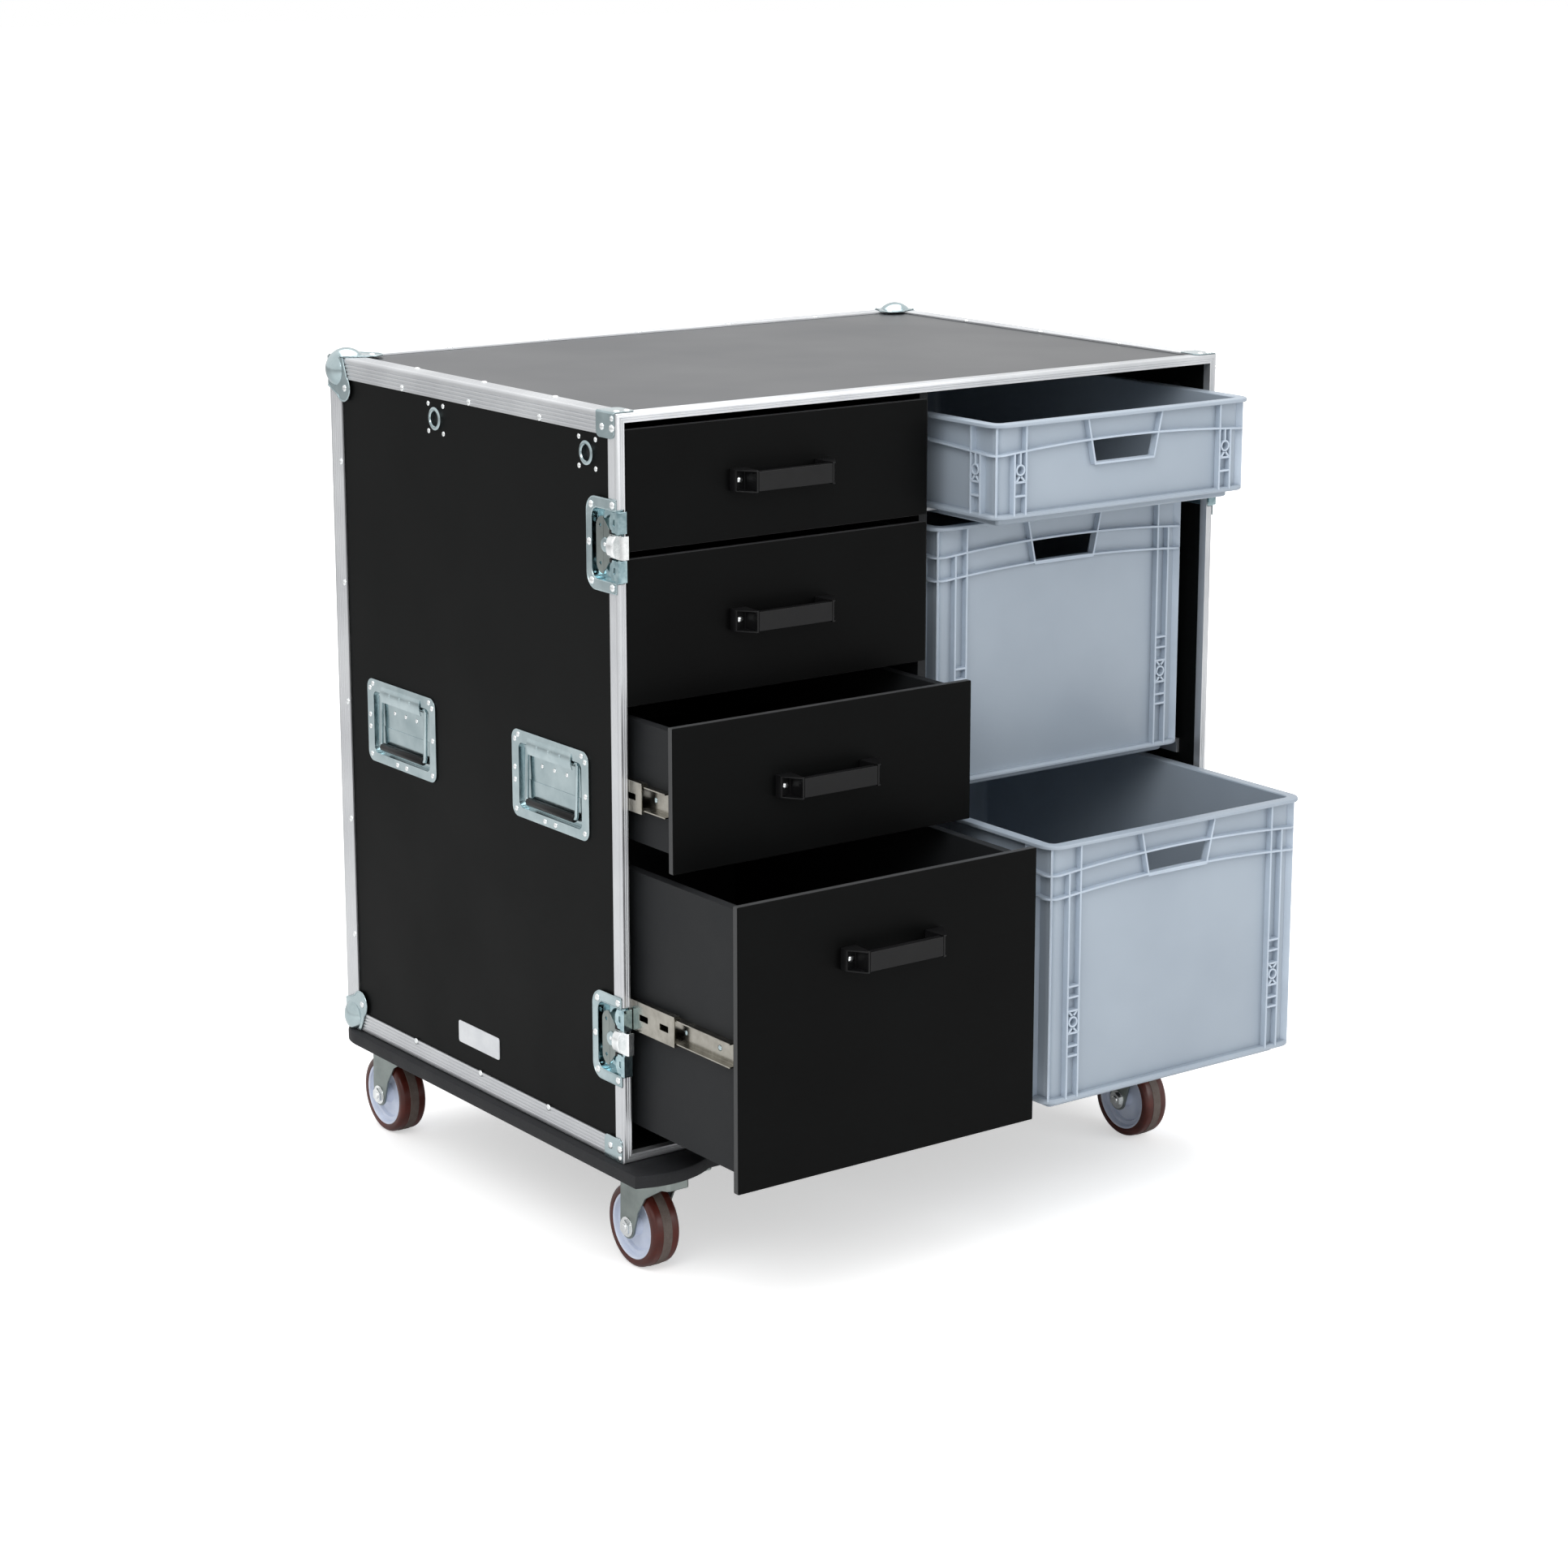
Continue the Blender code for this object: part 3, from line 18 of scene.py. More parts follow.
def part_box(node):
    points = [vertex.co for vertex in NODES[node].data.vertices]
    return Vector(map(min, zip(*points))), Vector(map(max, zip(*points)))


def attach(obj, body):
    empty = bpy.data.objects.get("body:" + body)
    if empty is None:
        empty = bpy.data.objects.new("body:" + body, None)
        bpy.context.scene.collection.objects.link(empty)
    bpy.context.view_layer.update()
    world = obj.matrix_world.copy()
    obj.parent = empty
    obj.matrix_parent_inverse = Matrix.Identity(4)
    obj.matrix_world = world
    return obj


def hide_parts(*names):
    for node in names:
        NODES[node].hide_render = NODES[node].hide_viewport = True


log = logging.getLogger("flight_case")
Point = tuple[float, float]
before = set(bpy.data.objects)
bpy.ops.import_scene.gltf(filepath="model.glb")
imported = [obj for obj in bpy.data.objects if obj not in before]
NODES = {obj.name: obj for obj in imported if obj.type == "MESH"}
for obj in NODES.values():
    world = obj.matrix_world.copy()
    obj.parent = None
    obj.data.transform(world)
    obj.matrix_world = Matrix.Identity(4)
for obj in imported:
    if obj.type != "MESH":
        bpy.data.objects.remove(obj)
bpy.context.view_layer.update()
GAP = 0.0003  # clearance between pieces that touch


# Finishes


def linear(code: str) -> tuple[float, float, float, float]:
    """Turns an sRGB hex colour into linear RGBA.

    Args:
        code: the colour as "#rrggbb".

    Returns:
        Linear red, green, blue and an alpha of one.
    """
    values = [int(code[i:i + 2], 16) / 255 for i in (1, 3, 5)]
    red, green, blue = [v / 12.92 if v <= 0.04045 else ((v + 0.055) / 1.055) ** 2.4 for v in values]
    return red, green, blue, 1.0


def node(tree: bpy.types.NodeTree, kind: str, inputs: dict | None = None, **settings) -> bpy.types.Node:
    """Adds one node with its settings, values and incoming links.

    Args:
        tree: the tree it goes into.
        kind: Blender's name of the node type.
        inputs: a value or an output socket for each input, by name or place.
        settings: the node's own properties.

    Returns:
        The new node.
    """
    made = tree.nodes.new(kind)
    for key, value in settings.items():
        setattr(made, key, value)
    for key, value in (inputs or {}).items():
        if isinstance(value, bpy.types.NodeSocket):
            tree.links.new(value, made.inputs[key])
        else:
            made.inputs[key].default_value = value
    return made


@dataclass(frozen=True)
class Finish:
    """A surface: its real material and process, and the patterns that show on it.

    Lengths are real millimetres. cloud is a slow change of colour and gloss, such as handling marks,
    grain is the texture that the process leaves, and stretch draws the grain out along one axis.
    """

    name: str
    colour: str
    shade: str
    rough: float
    rough_spread: float = 0.08
    metallic: float = 0.0
    cloud: float = 60.0
    grain: float = 1.0
    grain_depth: float = 0.02
    grain_tint: float = 0.15
    stretch: tuple[float, float, float] = (1.0, 1.0, 1.0)
    specular: float = 0.5
    speck: float = 0.0
    speck_colour: str = "#ffffff"

    def build(self) -> bpy.types.Material:
        """Makes the node material.

        Returns:
            The finished material.
        """
        made = bpy.data.materials.new(self.name)
        made.use_nodes = True
        tree = made.node_tree
        shader = tree.nodes["Principled BSDF"]
        where = node(tree, "ShaderNodeTexCoord").outputs["Object"]
        drawn = node(tree, "ShaderNodeVectorMath", {0: where, 1: self.stretch}, operation="MULTIPLY")
        cloud = node(
            tree, "ShaderNodeTexNoise", {"Vector": where, "Scale": 1000 / self.cloud, "Detail": 3.0}
        ).outputs["Fac"]
        grain = node(
            tree, "ShaderNodeTexNoise",
            {"Vector": drawn.outputs[0], "Scale": 1000 / self.grain, "Detail": 4.0, "Roughness": 0.6},
        ).outputs["Fac"]
        blend = node(
            tree, "ShaderNodeMath", {0: grain, 1: self.grain_tint, 2: cloud}, operation="MULTIPLY_ADD"
        )
        ramp = node(
            tree, "ShaderNodeMapRange",
            {"Value": blend.outputs[0], "From Min": 0.35, "From Max": 0.65 + self.grain_tint},
        )
        colour = node(
            tree, "ShaderNodeMix",
            {"Factor": ramp.outputs[0], "A": linear(self.shade), "B": linear(self.colour)},
            data_type="RGBA",
        ).outputs["Result"]
        if self.speck:
            dots = node(
                tree, "ShaderNodeTexVoronoi", {"Vector": where, "Scale": 1000 / self.speck}
            ).outputs["Distance"]
            near = node(
                tree, "ShaderNodeMapRange",
                {"Value": dots, "From Min": 0.16, "From Max": 0.05, "To Max": 0.6},
            )
            colour = node(
                tree, "ShaderNodeMix",
                {"Factor": near.outputs[0], "A": colour, "B": linear(self.speck_colour)},
                data_type="RGBA",
            ).outputs["Result"]
        gloss = node(
            tree, "ShaderNodeMapRange",
            {"Value": cloud, "From Min": 0.3, "From Max": 0.7,
             "To Min": self.rough - self.rough_spread, "To Max": self.rough + self.rough_spread},
        )
        relief = node(
            tree, "ShaderNodeBump",
            {"Height": grain, "Strength": 0.6, "Distance": self.grain_depth / 1000},
        )
        tree.links.new(colour, shader.inputs["Base Color"])
        tree.links.new(gloss.outputs[0], shader.inputs["Roughness"])
        tree.links.new(relief.outputs["Normal"], shader.inputs["Normal"])
        shader.inputs["Metallic"].default_value = self.metallic
        shader.inputs["Specular IOR Level"].default_value = self.specular
        return made


class Stuff(Enum):
    """The finishes of the case, each named for its material and how its surface was made."""

    # Phenolic laminate pressed on plywood: nearly black, satin, with a fine even tooth
    LAMINATE = Finish(
        "pressed_black_laminate", "#0c0d0d", "#090a0a", 0.48, 0.05, grain=1.6, grain_depth=0.05,
        grain_tint=0.3, cloud=180.0, specular=0.06,
    )
    # The same laminate on the top, smoother so it mirrors more at a low angle; its lighter, bluish colour
    # is painted reflection of the white surround
    TOP_LAMINATE = Finish(
        "black_laminate_painted_reflection", "#22252a", "#1a1d22", 0.36, 0.04, grain=1.6, grain_depth=0.03,
        grain_tint=0.2, cloud=300.0, specular=0.56,
    )
    # Film-faced birch plywood: smooth film, faint long grain under it
    FRONT_PLY = Finish(
        "black_film_faced_plywood", "#090a0a", "#060606", 0.42, 0.05, grain=3.0, grain_depth=0.04,
        grain_tint=0.35, cloud=160.0, stretch=(0.12, 1.0, 1.0), specular=0.05,
    )
    # Drawer sides of wire-marked film plywood: rough and a little greyer
    SIDE_PLY = Finish(
        "wire_marked_film_plywood", "#1f2123", "#141517", 0.62, 0.06, grain=1.9, grain_depth=0.12,
        grain_tint=0.6, cloud=70.0, specular=0.25,
    )
    # Screen-pressed board under the case: coarse dark non-slip face
    BOARD_PLY = Finish(
        "screen_pressed_plywood", "#26272a", "#141517", 0.66, 0.08, grain=2.4, grain_depth=0.25,
        grain_tint=0.8, cloud=45.0, specular=0.3,
    )
    # Cut edge of the fronts, sealed with dark lacquer between the two films
    CUT_PLY = Finish(
        "lacquered_plywood_edge", "#3c3d3e", "#2c2d2e", 0.6, 0.05, grain=2.0, grain_depth=0.1,
        grain_tint=0.6, cloud=30.0,
    )
    # Extruded aluminium, mill finish: bright grey with draw lines along it
    ALUMINIUM = Finish(
        "mill_finish_extrusion", "#d0d2d4", "#c0c2c5", 0.34, 0.04, 0.8, grain=4.0, grain_depth=0.005,
        grain_tint=0.1, cloud=110.0,
    )
    # Pressed steel in bright zinc: cool, slightly green-blue, softly mottled
    ZINC = Finish(
        "bright_zinc_plated_pressing", "#bccbce", "#9fb0b4", 0.20, 0.05, 1.0, grain=6.0,
        grain_depth=0.02, grain_tint=0.15, cloud=28.0,
    )
    # Deep parts of the latches: the same zinc with a blue passivation
    BLUE_ZINC = Finish(
        "blue_passivated_zinc_pressing", "#bfd6da", "#7f9ca4", 0.14, 0.05, 1.0, grain=5.0,
        grain_depth=0.04, grain_tint=0.3, cloud=10.0,
    )
    # Rolled slide steel in clear zinc: neutral, a little warm, oily; darker than the other zinc as painted
    # shade for the slides deep inside the case
    SLIDE_ZINC = Finish(
        "zinc_slide_steel_painted_shade", "#b4b1a8", "#85827a", 0.22, 0.06, 1.0, grain=4.0, grain_depth=0.02,
        grain_tint=0.3, cloud=18.0,
    )
    # Duller zinc, darker than the bright pressing; on the forks, plates and brakes under the case the
    # darker tone is painted shade
    FORK_ZINC = Finish(
        "duller_zinc_with_painted_shade", "#959d9a", "#7b8381", 0.36, 0.07, 1.0, grain=5.0, grain_depth=0.03,
        grain_tint=0.2, cloud=30.0,
    )
    # Rivets, bolts and latch hooks in bright nickel: nearly white and smooth
    NICKEL = Finish(
        "bright_nickel_plated_steel", "#f4f6f6", "#dfe3e4", 0.24, 0.05, 1.0, grain=1.5, grain_depth=0.01,
        grain_tint=0.2, cloud=8.0,
    )
    # Glass-filled polyamide, spark-eroded mould: black with a fine tooth
    POLYAMIDE = Finish(
        "moulded_black_polyamide", "#101011", "#0b0b0c", 0.40, 0.05, grain=0.9, grain_depth=0.06,
        grain_tint=0.3, cloud=25.0, specular=0.2,
    )
    # Grey polypropylene from a polished mould: cool grey, soft sheen
    POLYPROPYLENE = Finish(
        "moulded_grey_polypropylene", "#9da8b3", "#939eaa", 0.40, 0.04, grain=1.2, grain_depth=0.02,
        grain_tint=0.15, cloud=150.0,
    )
    # The same polypropylene on rib crests and bands, lighter as painted highlight where the ribs catch the
    # light
    RIB = Finish(
        "grey_polypropylene_painted_highlight", "#b4c0cd", "#a6b2bf", 0.34, 0.04, grain=1.2, grain_depth=0.02,
        grain_tint=0.15, cloud=60.0,
    )
    # White nylon hub, slightly blue
    HUB = Finish(
        "moulded_white_nylon", "#dfe6f4", "#c9d3e8", 0.4, 0.05, grain=1.0, grain_depth=0.02,
        grain_tint=0.2, cloud=25.0,
    )
    # Cast polyurethane tread: red-brown, waxy
    TREAD = Finish(
        "cast_red_brown_polyurethane", "#5a2118", "#3c1710", 0.34, 0.06, grain=1.5, grain_depth=0.03,
        grain_tint=0.3, cloud=22.0, specular=0.4,
    )
    # Running band of the tread, scuffed grey
    SCUFF = Finish(
        "scuffed_polyurethane", "#6f6660", "#4a3a34", 0.7, 0.08, grain=1.2, grain_depth=0.12,
        grain_tint=0.7, cloud=9.0,
    )
    # Black rubber stops, and painted shade: black floors and patches that stand for the dark inside of
    # holes
    HOLLOW = Finish("rubber_and_painted_hole_shade", "#08080a", "#050506", 0.8, 0.05, grain=1.5, cloud=20.0)
    # Bare name plate: satin anodised sheet
    PLATE = Finish(
        "satin_anodised_plate", "#e4e6e8", "#cfd2d6", 0.42, 0.05, 0.6, grain=0.6, grain_depth=0.01,
        grain_tint=0.3, cloud=25.0, stretch=(1.0, 0.1, 1.0),
    )

    @property
    def material(self) -> bpy.types.Material:
        """The built material, made on first use."""
        found = bpy.data.materials.get(self.value.name)
        return found or self.value.build()


# Where the case lies


@dataclass
class CaseFrame:
    """Where the case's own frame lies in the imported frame, and how large the case is."""

    front: float = 0.0
    under: float = 0.0
    width: float = 0.0
    depth: float = 0.0
    height: float = 0.0

    def __post_init__(self) -> None:
        """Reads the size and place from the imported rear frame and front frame."""
        low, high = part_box("rear_frame")
        self.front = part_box("front_frame")[0].y
        self.under = low.z
        self.width = high.x - low.x
        self.depth = high.y - self.front
        self.height = high.z - low.z

    def inward(self, side: int, depth: float) -> float:
        """x at a depth inside the outer plane of the left (-1) or right (1) side."""
        return side * (self.width / 2 - depth)

    def span(self, side: int, near: float, far: float) -> list[float]:
        """Lower and higher x of two depths inside the outer plane of a side."""
        return sorted((self.inward(side, near), self.inward(side, far)))

    def box(self, name: str) -> tuple[Vector, Vector]:
        """Lowest and highest corner of a CAD node in the case's own frame."""
        shift = Vector((0, self.front, self.under))
        low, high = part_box(name)
        return low - shift, high - shift


CASE = CaseFrame()
SIDE_NAMES = {-1: "left", 1: "right"}


# Outlines and mesh stock


def arc(radius: float, count: int, start: float, sweep: float, centre: Point = (0, 0)) -> list[Point]:
    """Points on an arc, ends included.

    Args:
        radius: the arc's radius.
        count: how many points.
        start: first angle in degrees.
        sweep: degrees to turn through.
        centre: the arc's centre.

    Returns:
        The points in order.
    """
    angles = [math.radians(start + sweep * i / (count - 1)) for i in range(count)]
    return [(centre[0] + radius * math.cos(a), centre[1] + radius * math.sin(a)) for a in angles]


def circle(radius: float, count: int, centre: Point = (0, 0)) -> list[Point]:
    """A full circle of points without a repeat, starting at the top."""
    return arc(radius, count + 1, 90, 360, centre)[:-1]


def rounded(
    u0: float, u1: float, v0: float, v1: float, radius: float | list[float], count: int = 6
) -> list[Point]:
    """A rectangle with round corners.

    Args:
        u0, u1, v0, v1: the limits.
        radius: one radius, or four from the lower left anticlockwise.
        count: points in each corner.

    Returns:
        The outline, anticlockwise.
    """
    radii = radius if isinstance(radius, list) else [radius] * 4
    points: list[Point] = []
    corners = ((u0, v0, 1, 1), (u1, v0, -1, 1), (u1, v1, -1, -1), (u0, v1, 1, -1))
    for i, (r, (u, v, su, sv)) in enumerate(zip(radii, corners)):
        points += arc(r, count, 180 + 90 * i, 90, (u + su * r, v + sv * r)) if r > 0 else [(u, v)]
    return points


def mirrored(half: list[Point], su: int = -1, sv: int = 1) -> list[Point]:
    """Half an outline, then its mirror image, in the first coordinate or with (1, -1) in the second."""
    return half + [(su * u, sv * v) for u, v in reversed(half)]


def placed(axis: str, p: Point, level: float) -> tuple[float, float, float]:
    """A point of the plane across an axis, at a level along that axis."""
    return {"X": (level, *p), "Y": (p[0], level, p[1]), "Z": (*p, level)}[axis]


def linked(name: str, data: bpy.types.ID) -> bpy.types.Object:
    """A new object of some data, linked into the scene."""
    made = bpy.data.objects.new(name, data)
    bpy.context.scene.collection.objects.link(made)
    return made


def evaluated(piece: bpy.types.Object) -> bpy.types.Mesh:
    """A piece's mesh with its modifiers worked in."""
    return bpy.data.meshes.new_from_object(piece.evaluated_get(bpy.context.evaluated_depsgraph_get()))


class Stock:
    """A mesh being cut and joined before it becomes a piece."""

    def __init__(self) -> None:
        """Starts with nothing in the mesh."""
        self.mesh = bmesh.new()

    def prism(self, outline: list[Point], low: float, high: float, axis: str) -> Stock:
        """Extrudes an outline along an axis.

        Args:
            outline: points in (y, z) for X, (x, z) for Y or (x, y) for Z.
            low, high: where it starts and ends along the axis.
            axis: "X", "Y" or "Z".

        Returns:
            This stock.
        """
        return self.loft([[placed(axis, p, level) for p in outline] for level in (low, high)])

    def side_prism(self, outline: list[Point], side: int, near: float, far: float) -> Stock:
        """Extrudes a (y, z) outline between two depths under one side of the case."""
        return self.prism(outline, *CASE.span(side, near, far), "X")

    def box(self, x0: float, x1: float, y0: float, y1: float, z0: float, z1: float) -> Stock:
        """Adds a block between the given limits."""
        return self.prism([(x0, y0), (x1, y0), (x1, y1), (x0, y1)], z0, z1, "Z")

    def loft(self, loops: list, closed: bool = False) -> Stock:
        """Joins loops of equal length.

        Args:
            loops: the loops, each a list of 3-D points.
            closed: joins the last loop to the first in place of capping both ends.

        Returns:
            This stock.
        """
        rows = [[self.mesh.verts.new(p) for p in loop] for loop in loops]
        faces = []
        for lower, upper in zip(rows, rows[1:] + rows[:1] if closed else rows[1:]):
            for i in range(len(lower)):
                j = (i + 1) % len(lower)
                faces.append(self.mesh.faces.new((lower[i], lower[j], upper[j], upper[i])))
        if not closed:
            faces += [self.mesh.faces.new(rows[0]), self.mesh.faces.new(rows[-1])]
        bmesh.ops.recalc_face_normals(self.mesh, faces=faces)
        return self

    def turned(self, profile: list[Point], steps: int, axis: str, centre: Vector) -> Stock:
        """Turns a closed profile of (along, radius) points about an axis through centre."""
        return self.loft([
            [centre + Vector(placed(axis, p, along)) for p in circle(max(radius, 1e-5), steps)]
            for along, radius in profile
        ], closed=True)

    def ball(self, radius: float, centre: tuple[float, float, float], segments: int) -> Stock:
        """Adds a sphere with half as many rings as segments."""
        bmesh.ops.create_uvsphere(
            self.mesh, u_segments=segments, v_segments=segments // 2, radius=radius,
            matrix=Matrix.Translation(centre),
        )
        return self

    def rod(self, radius: float, low: Vector, high: Vector, steps: int = 16) -> Stock:
        """A round bar between two points."""
        turn = (high - low).to_track_quat("Z", "Y")
        ring = circle(radius, steps)
        return self.loft([[end + turn @ Vector((a, b, 0)) for a, b in ring] for end in (low, high)])

    def tube(self, route: list[Vector], radius: float, steps: int = 12) -> Stock:
        """A round bar along a route of points, mitred at each bend."""
        loops = []
        side = Vector((1, 0, 0))
        for i, spot in enumerate(route):
            before = (spot - route[i - 1]).normalized() if i else (route[1] - spot).normalized()
            after = (route[i + 1] - spot).normalized() if i + 1 < len(route) else before
            along = (before + after).normalized()
            side = (side - along * side.dot(along)).normalized()
            other = along.cross(side) / max(0.5, along.dot(before))
            loops.append([spot + side * a + other * b for a, b in circle(radius, steps)])
        return self.loft(loops)

    def merge(self, other: Stock) -> Stock:
        """Takes another stock's mesh in and frees it."""
        spare = bpy.data.meshes.new("spare")
        other.mesh.to_mesh(spare)
        other.mesh.free()
        self.mesh.from_mesh(spare)
        bpy.data.meshes.remove(spare)
        return self

    def place(
        self, name: str, stuff: Stuff, body: str, slot: str, replaces: tuple[str, ...] = (),
        bevel: float = 0.0, steps: int = 2, smooth: float = 35.0,
    ) -> None:
        """Turns the stock into a piece that rides on a body.

        Args:
            name: the piece's name.
            stuff: its finish.
            body: the body it moves with.
            slot: the record's material slot; not used.
            replaces: CAD nodes that it stands for.
            bevel: width of its rounded edges.
            steps: segments in each rounded edge.
            smooth: edges sharper than this many degrees stay sharp.
        """
        bmesh.ops.translate(self.mesh, verts=self.mesh.verts, vec=(0, CASE.front, CASE.under))
        data = bpy.data.meshes.new(name)
        self.mesh.to_mesh(data)
        self.mesh.free()
        piece = linked(name, data)
        data.materials.append(stuff.material)
        data.shade_smooth()
        data.set_sharp_from_angle(angle=math.radians(smooth))
        if bevel:
            edge = piece.modifiers.new("edge", "BEVEL")
            edge.width = bevel
            edge.segments = steps
            edge.limit_method = "ANGLE"
            edge.angle_limit = math.radians(smooth)
            edge.harden_normals = True
        finish_piece(piece, body, replaces)


def finish_piece(
    piece: bpy.types.Object, body: str, replaces: tuple[str, ...] = ()
) -> None:
    """Hands a piece to the frame: its body and what it stands for."""
    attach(piece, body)
    if replaces:
        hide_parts(*replaces)
    log.info("piece %s on %s", piece.name, body)


def carve(stock: Stock, cutters: list[Stock], operation: str = "DIFFERENCE") -> Stock:
    """Cuts closed shapes out of a stock with exact Booleans.

    Args:
        stock: what is cut.
        cutters: what is taken away, or what is kept with "INTERSECT".
        operation: the Boolean's operation.

    Returns:
        The stock after the cuts.
    """
    def rough(source: Stock, name: str) -> bpy.types.Object:
        """A plain object of a stock's mesh."""
        data = bpy.data.meshes.new(name)
        source.mesh.to_mesh(data)
        source.mesh.free()
        return linked(name, data)

    blank = rough(stock, "blank")
    tools = [rough(cutter, f"tool_{i}") for i, cutter in enumerate(cutters)]
    for tool in tools:
        step = blank.modifiers.new("cut", "BOOLEAN")
        step.object = tool
        step.operation = operation
        step.solver = "EXACT"
    ready = evaluated(blank)
    result = Stock()
    result.mesh.from_mesh(ready)
    bpy.data.meshes.remove(ready)
    for extra in [blank] + tools:
        bpy.data.objects.remove(extra)
    return result


def dress(names: list[str], stuff: Stuff) -> None:
    """Gives CAD nodes that stay in view their finish."""
    for name in names:
        piece = NODES[name]
        if not piece.material_slots:
            piece.data.materials.append(stuff.material)
        for socket in piece.material_slots:
            socket.material = stuff.material


# Rivets and screws


@dataclass
class RivetSet:
    """Domed rivet or screw heads, drawn by one node tree at points that carry a direction and a size."""

    name: str
    body: str
    stuff: Stuff = Stuff.NICKEL
    radius: float = 0.0042
    height: float = 0.42
    spots: list[tuple[Vector, Vector, float]] = field(default_factory=list)

    def add(self, spot: tuple, out: tuple, size: float = 1.0) -> None:
        """Notes one head: its place, the direction it faces and its size against the set's radius."""
        self.spots.append((Vector(spot), Vector(out), size))

    def on_side(self, side: int, depth: float, y: float, z: float, size: float = 1.0) -> None:
        """Notes one head that faces out of a side of the case, at a depth under its outer plane."""
        self.add((CASE.inward(side, depth), y, z), (side, 0, 0), size)

    def tree(self) -> bpy.types.NodeTree:
        """Builds the node tree: a flattened dome at each point, turned to its direction.

        Returns:
            A geometry node group with Radius, Flatness and Segments inputs.
        """
        group = bpy.data.node_groups.new(f"{self.name}_heads", "GeometryNodeTree")
        face = group.interface
        face.new_socket("Geometry", in_out="INPUT", socket_type="NodeSocketGeometry")
        for label, kind in (("Radius", "Float"), ("Flatness", "Float"), ("Segments", "Int")):
            face.new_socket(label, in_out="INPUT", socket_type=f"NodeSocket{kind}")
        face.new_socket("Geometry", in_out="OUTPUT", socket_type="NodeSocketGeometry")
        given = node(group, "NodeGroupInput").outputs
        dome = node(
            group, "GeometryNodeMeshUVSphere",
            {"Segments": given["Segments"], "Rings": 6, "Radius": given["Radius"]},
        )
        flat = node(group, "ShaderNodeCombineXYZ", {"X": 1.0, "Y": 1.0, "Z": given["Flatness"]})
        head = node(
            group, "GeometryNodeTransform", {"Geometry": dome.outputs["Mesh"], "Scale": flat.outputs[0]}
        )
        out, size = [
            node(group, "GeometryNodeInputNamedAttribute", {"Name": label}, data_type=kind)
            for label, kind in (("facing", "FLOAT_VECTOR"), ("size", "FLOAT"))
        ]
        turn = node(
            group, "FunctionNodeAlignRotationToVector", {"Vector": out.outputs["Attribute"]}, axis="Z"
        )
        dots = node(group, "GeometryNodeMeshToPoints", {"Mesh": given["Geometry"]})
        heads = node(
            group, "GeometryNodeInstanceOnPoints",
            {"Points": dots.outputs[0], "Instance": head.outputs[0], "Rotation": turn.outputs[0],
             "Scale": size.outputs["Attribute"]},
        )
        real = node(group, "GeometryNodeRealizeInstances", {"Geometry": heads.outputs[0]})
        shade = node(group, "GeometryNodeSetShadeSmooth", {"Geometry": real.outputs[0]})
        dressed = node(
            group, "GeometryNodeSetMaterial",
            {"Geometry": shade.outputs[0], "Material": self.stuff.material},
        )
        node(group, "NodeGroupOutput", {"Geometry": dressed.outputs[0]})
        return group

    def place(self) -> None:
        """Makes the heads a plain mesh on their body."""
        shift = Vector((0, CASE.front, CASE.under))
        data = bpy.data.meshes.new(self.name)
        data.from_pydata([tuple(spot + shift) for spot, _, _ in self.spots], [], [])
        facing = data.attributes.new("facing", "FLOAT_VECTOR", "POINT")
        facing.data.foreach_set("vector", [c for _, out, _ in self.spots for c in out])
        size = data.attributes.new("size", "FLOAT", "POINT")
        size.data.foreach_set("value", [s for _, _, s in self.spots])
        piece = linked(self.name, data)
        step = piece.modifiers.new("heads", "NODES")
        step.node_group = self.tree()
        values = {"Radius": self.radius, "Flatness": self.height, "Segments": 14}
        for item in step.node_group.interface.items_tree:
            if item.in_out == "INPUT" and item.name in values:
                step[item.identifier] = values[item.name]
        solid = evaluated(piece)
        piece.modifiers.remove(step)
        piece.data = solid
        solid.name = self.name
        finish_piece(piece, self.body)


def grooves(
    start: Point, end: Point, into: Point, count: int, wide: float = 0.0022, deep: float = 0.0010
) -> list[Point]:
    """Points of fine V grooves along a straight stretch of a section.

    Args:
        start, end: the stretch.
        into: unit direction from the face into the metal.
        count: how many grooves.
        wide, deep: a groove's size.

    Returns:
        The stretch's points, both ends included.
    """
    a, b = Vector(start), Vector(end)
    along = (b - a).normalized() * wide / 2
    points = [tuple(a)]
    for i in range(count):
        middle = a.lerp(b, (i + 1) / (count + 1))
        points += [tuple(middle - along), tuple(middle + Vector(into) * deep), tuple(middle + along)]
    return points + [tuple(b)]


# Drawer slides


@dataclass(frozen=True)
class Slide:
    """Sizes that the rolled members of every drawer slide share."""

    length: float = 0.550
    height: float = 0.038
    sheet: float = 0.0012

    def section(
        self, wall: float, sign: int, z: float, start: float, height: float, depth: float, flange: float
    ) -> list[Point]:
        """Section of a member in (x, z) round its middle height: a web and two flanges off the wall."""
        h = height / 2
        half = [(start, -h), (depth, -h), (depth, flange - h), (start + self.sheet, flange - h)]
        return [(wall + sign * u, v + z) for u, v in mirrored(half, 1, -1)]


SLIDE = Slide()


# Body of the case


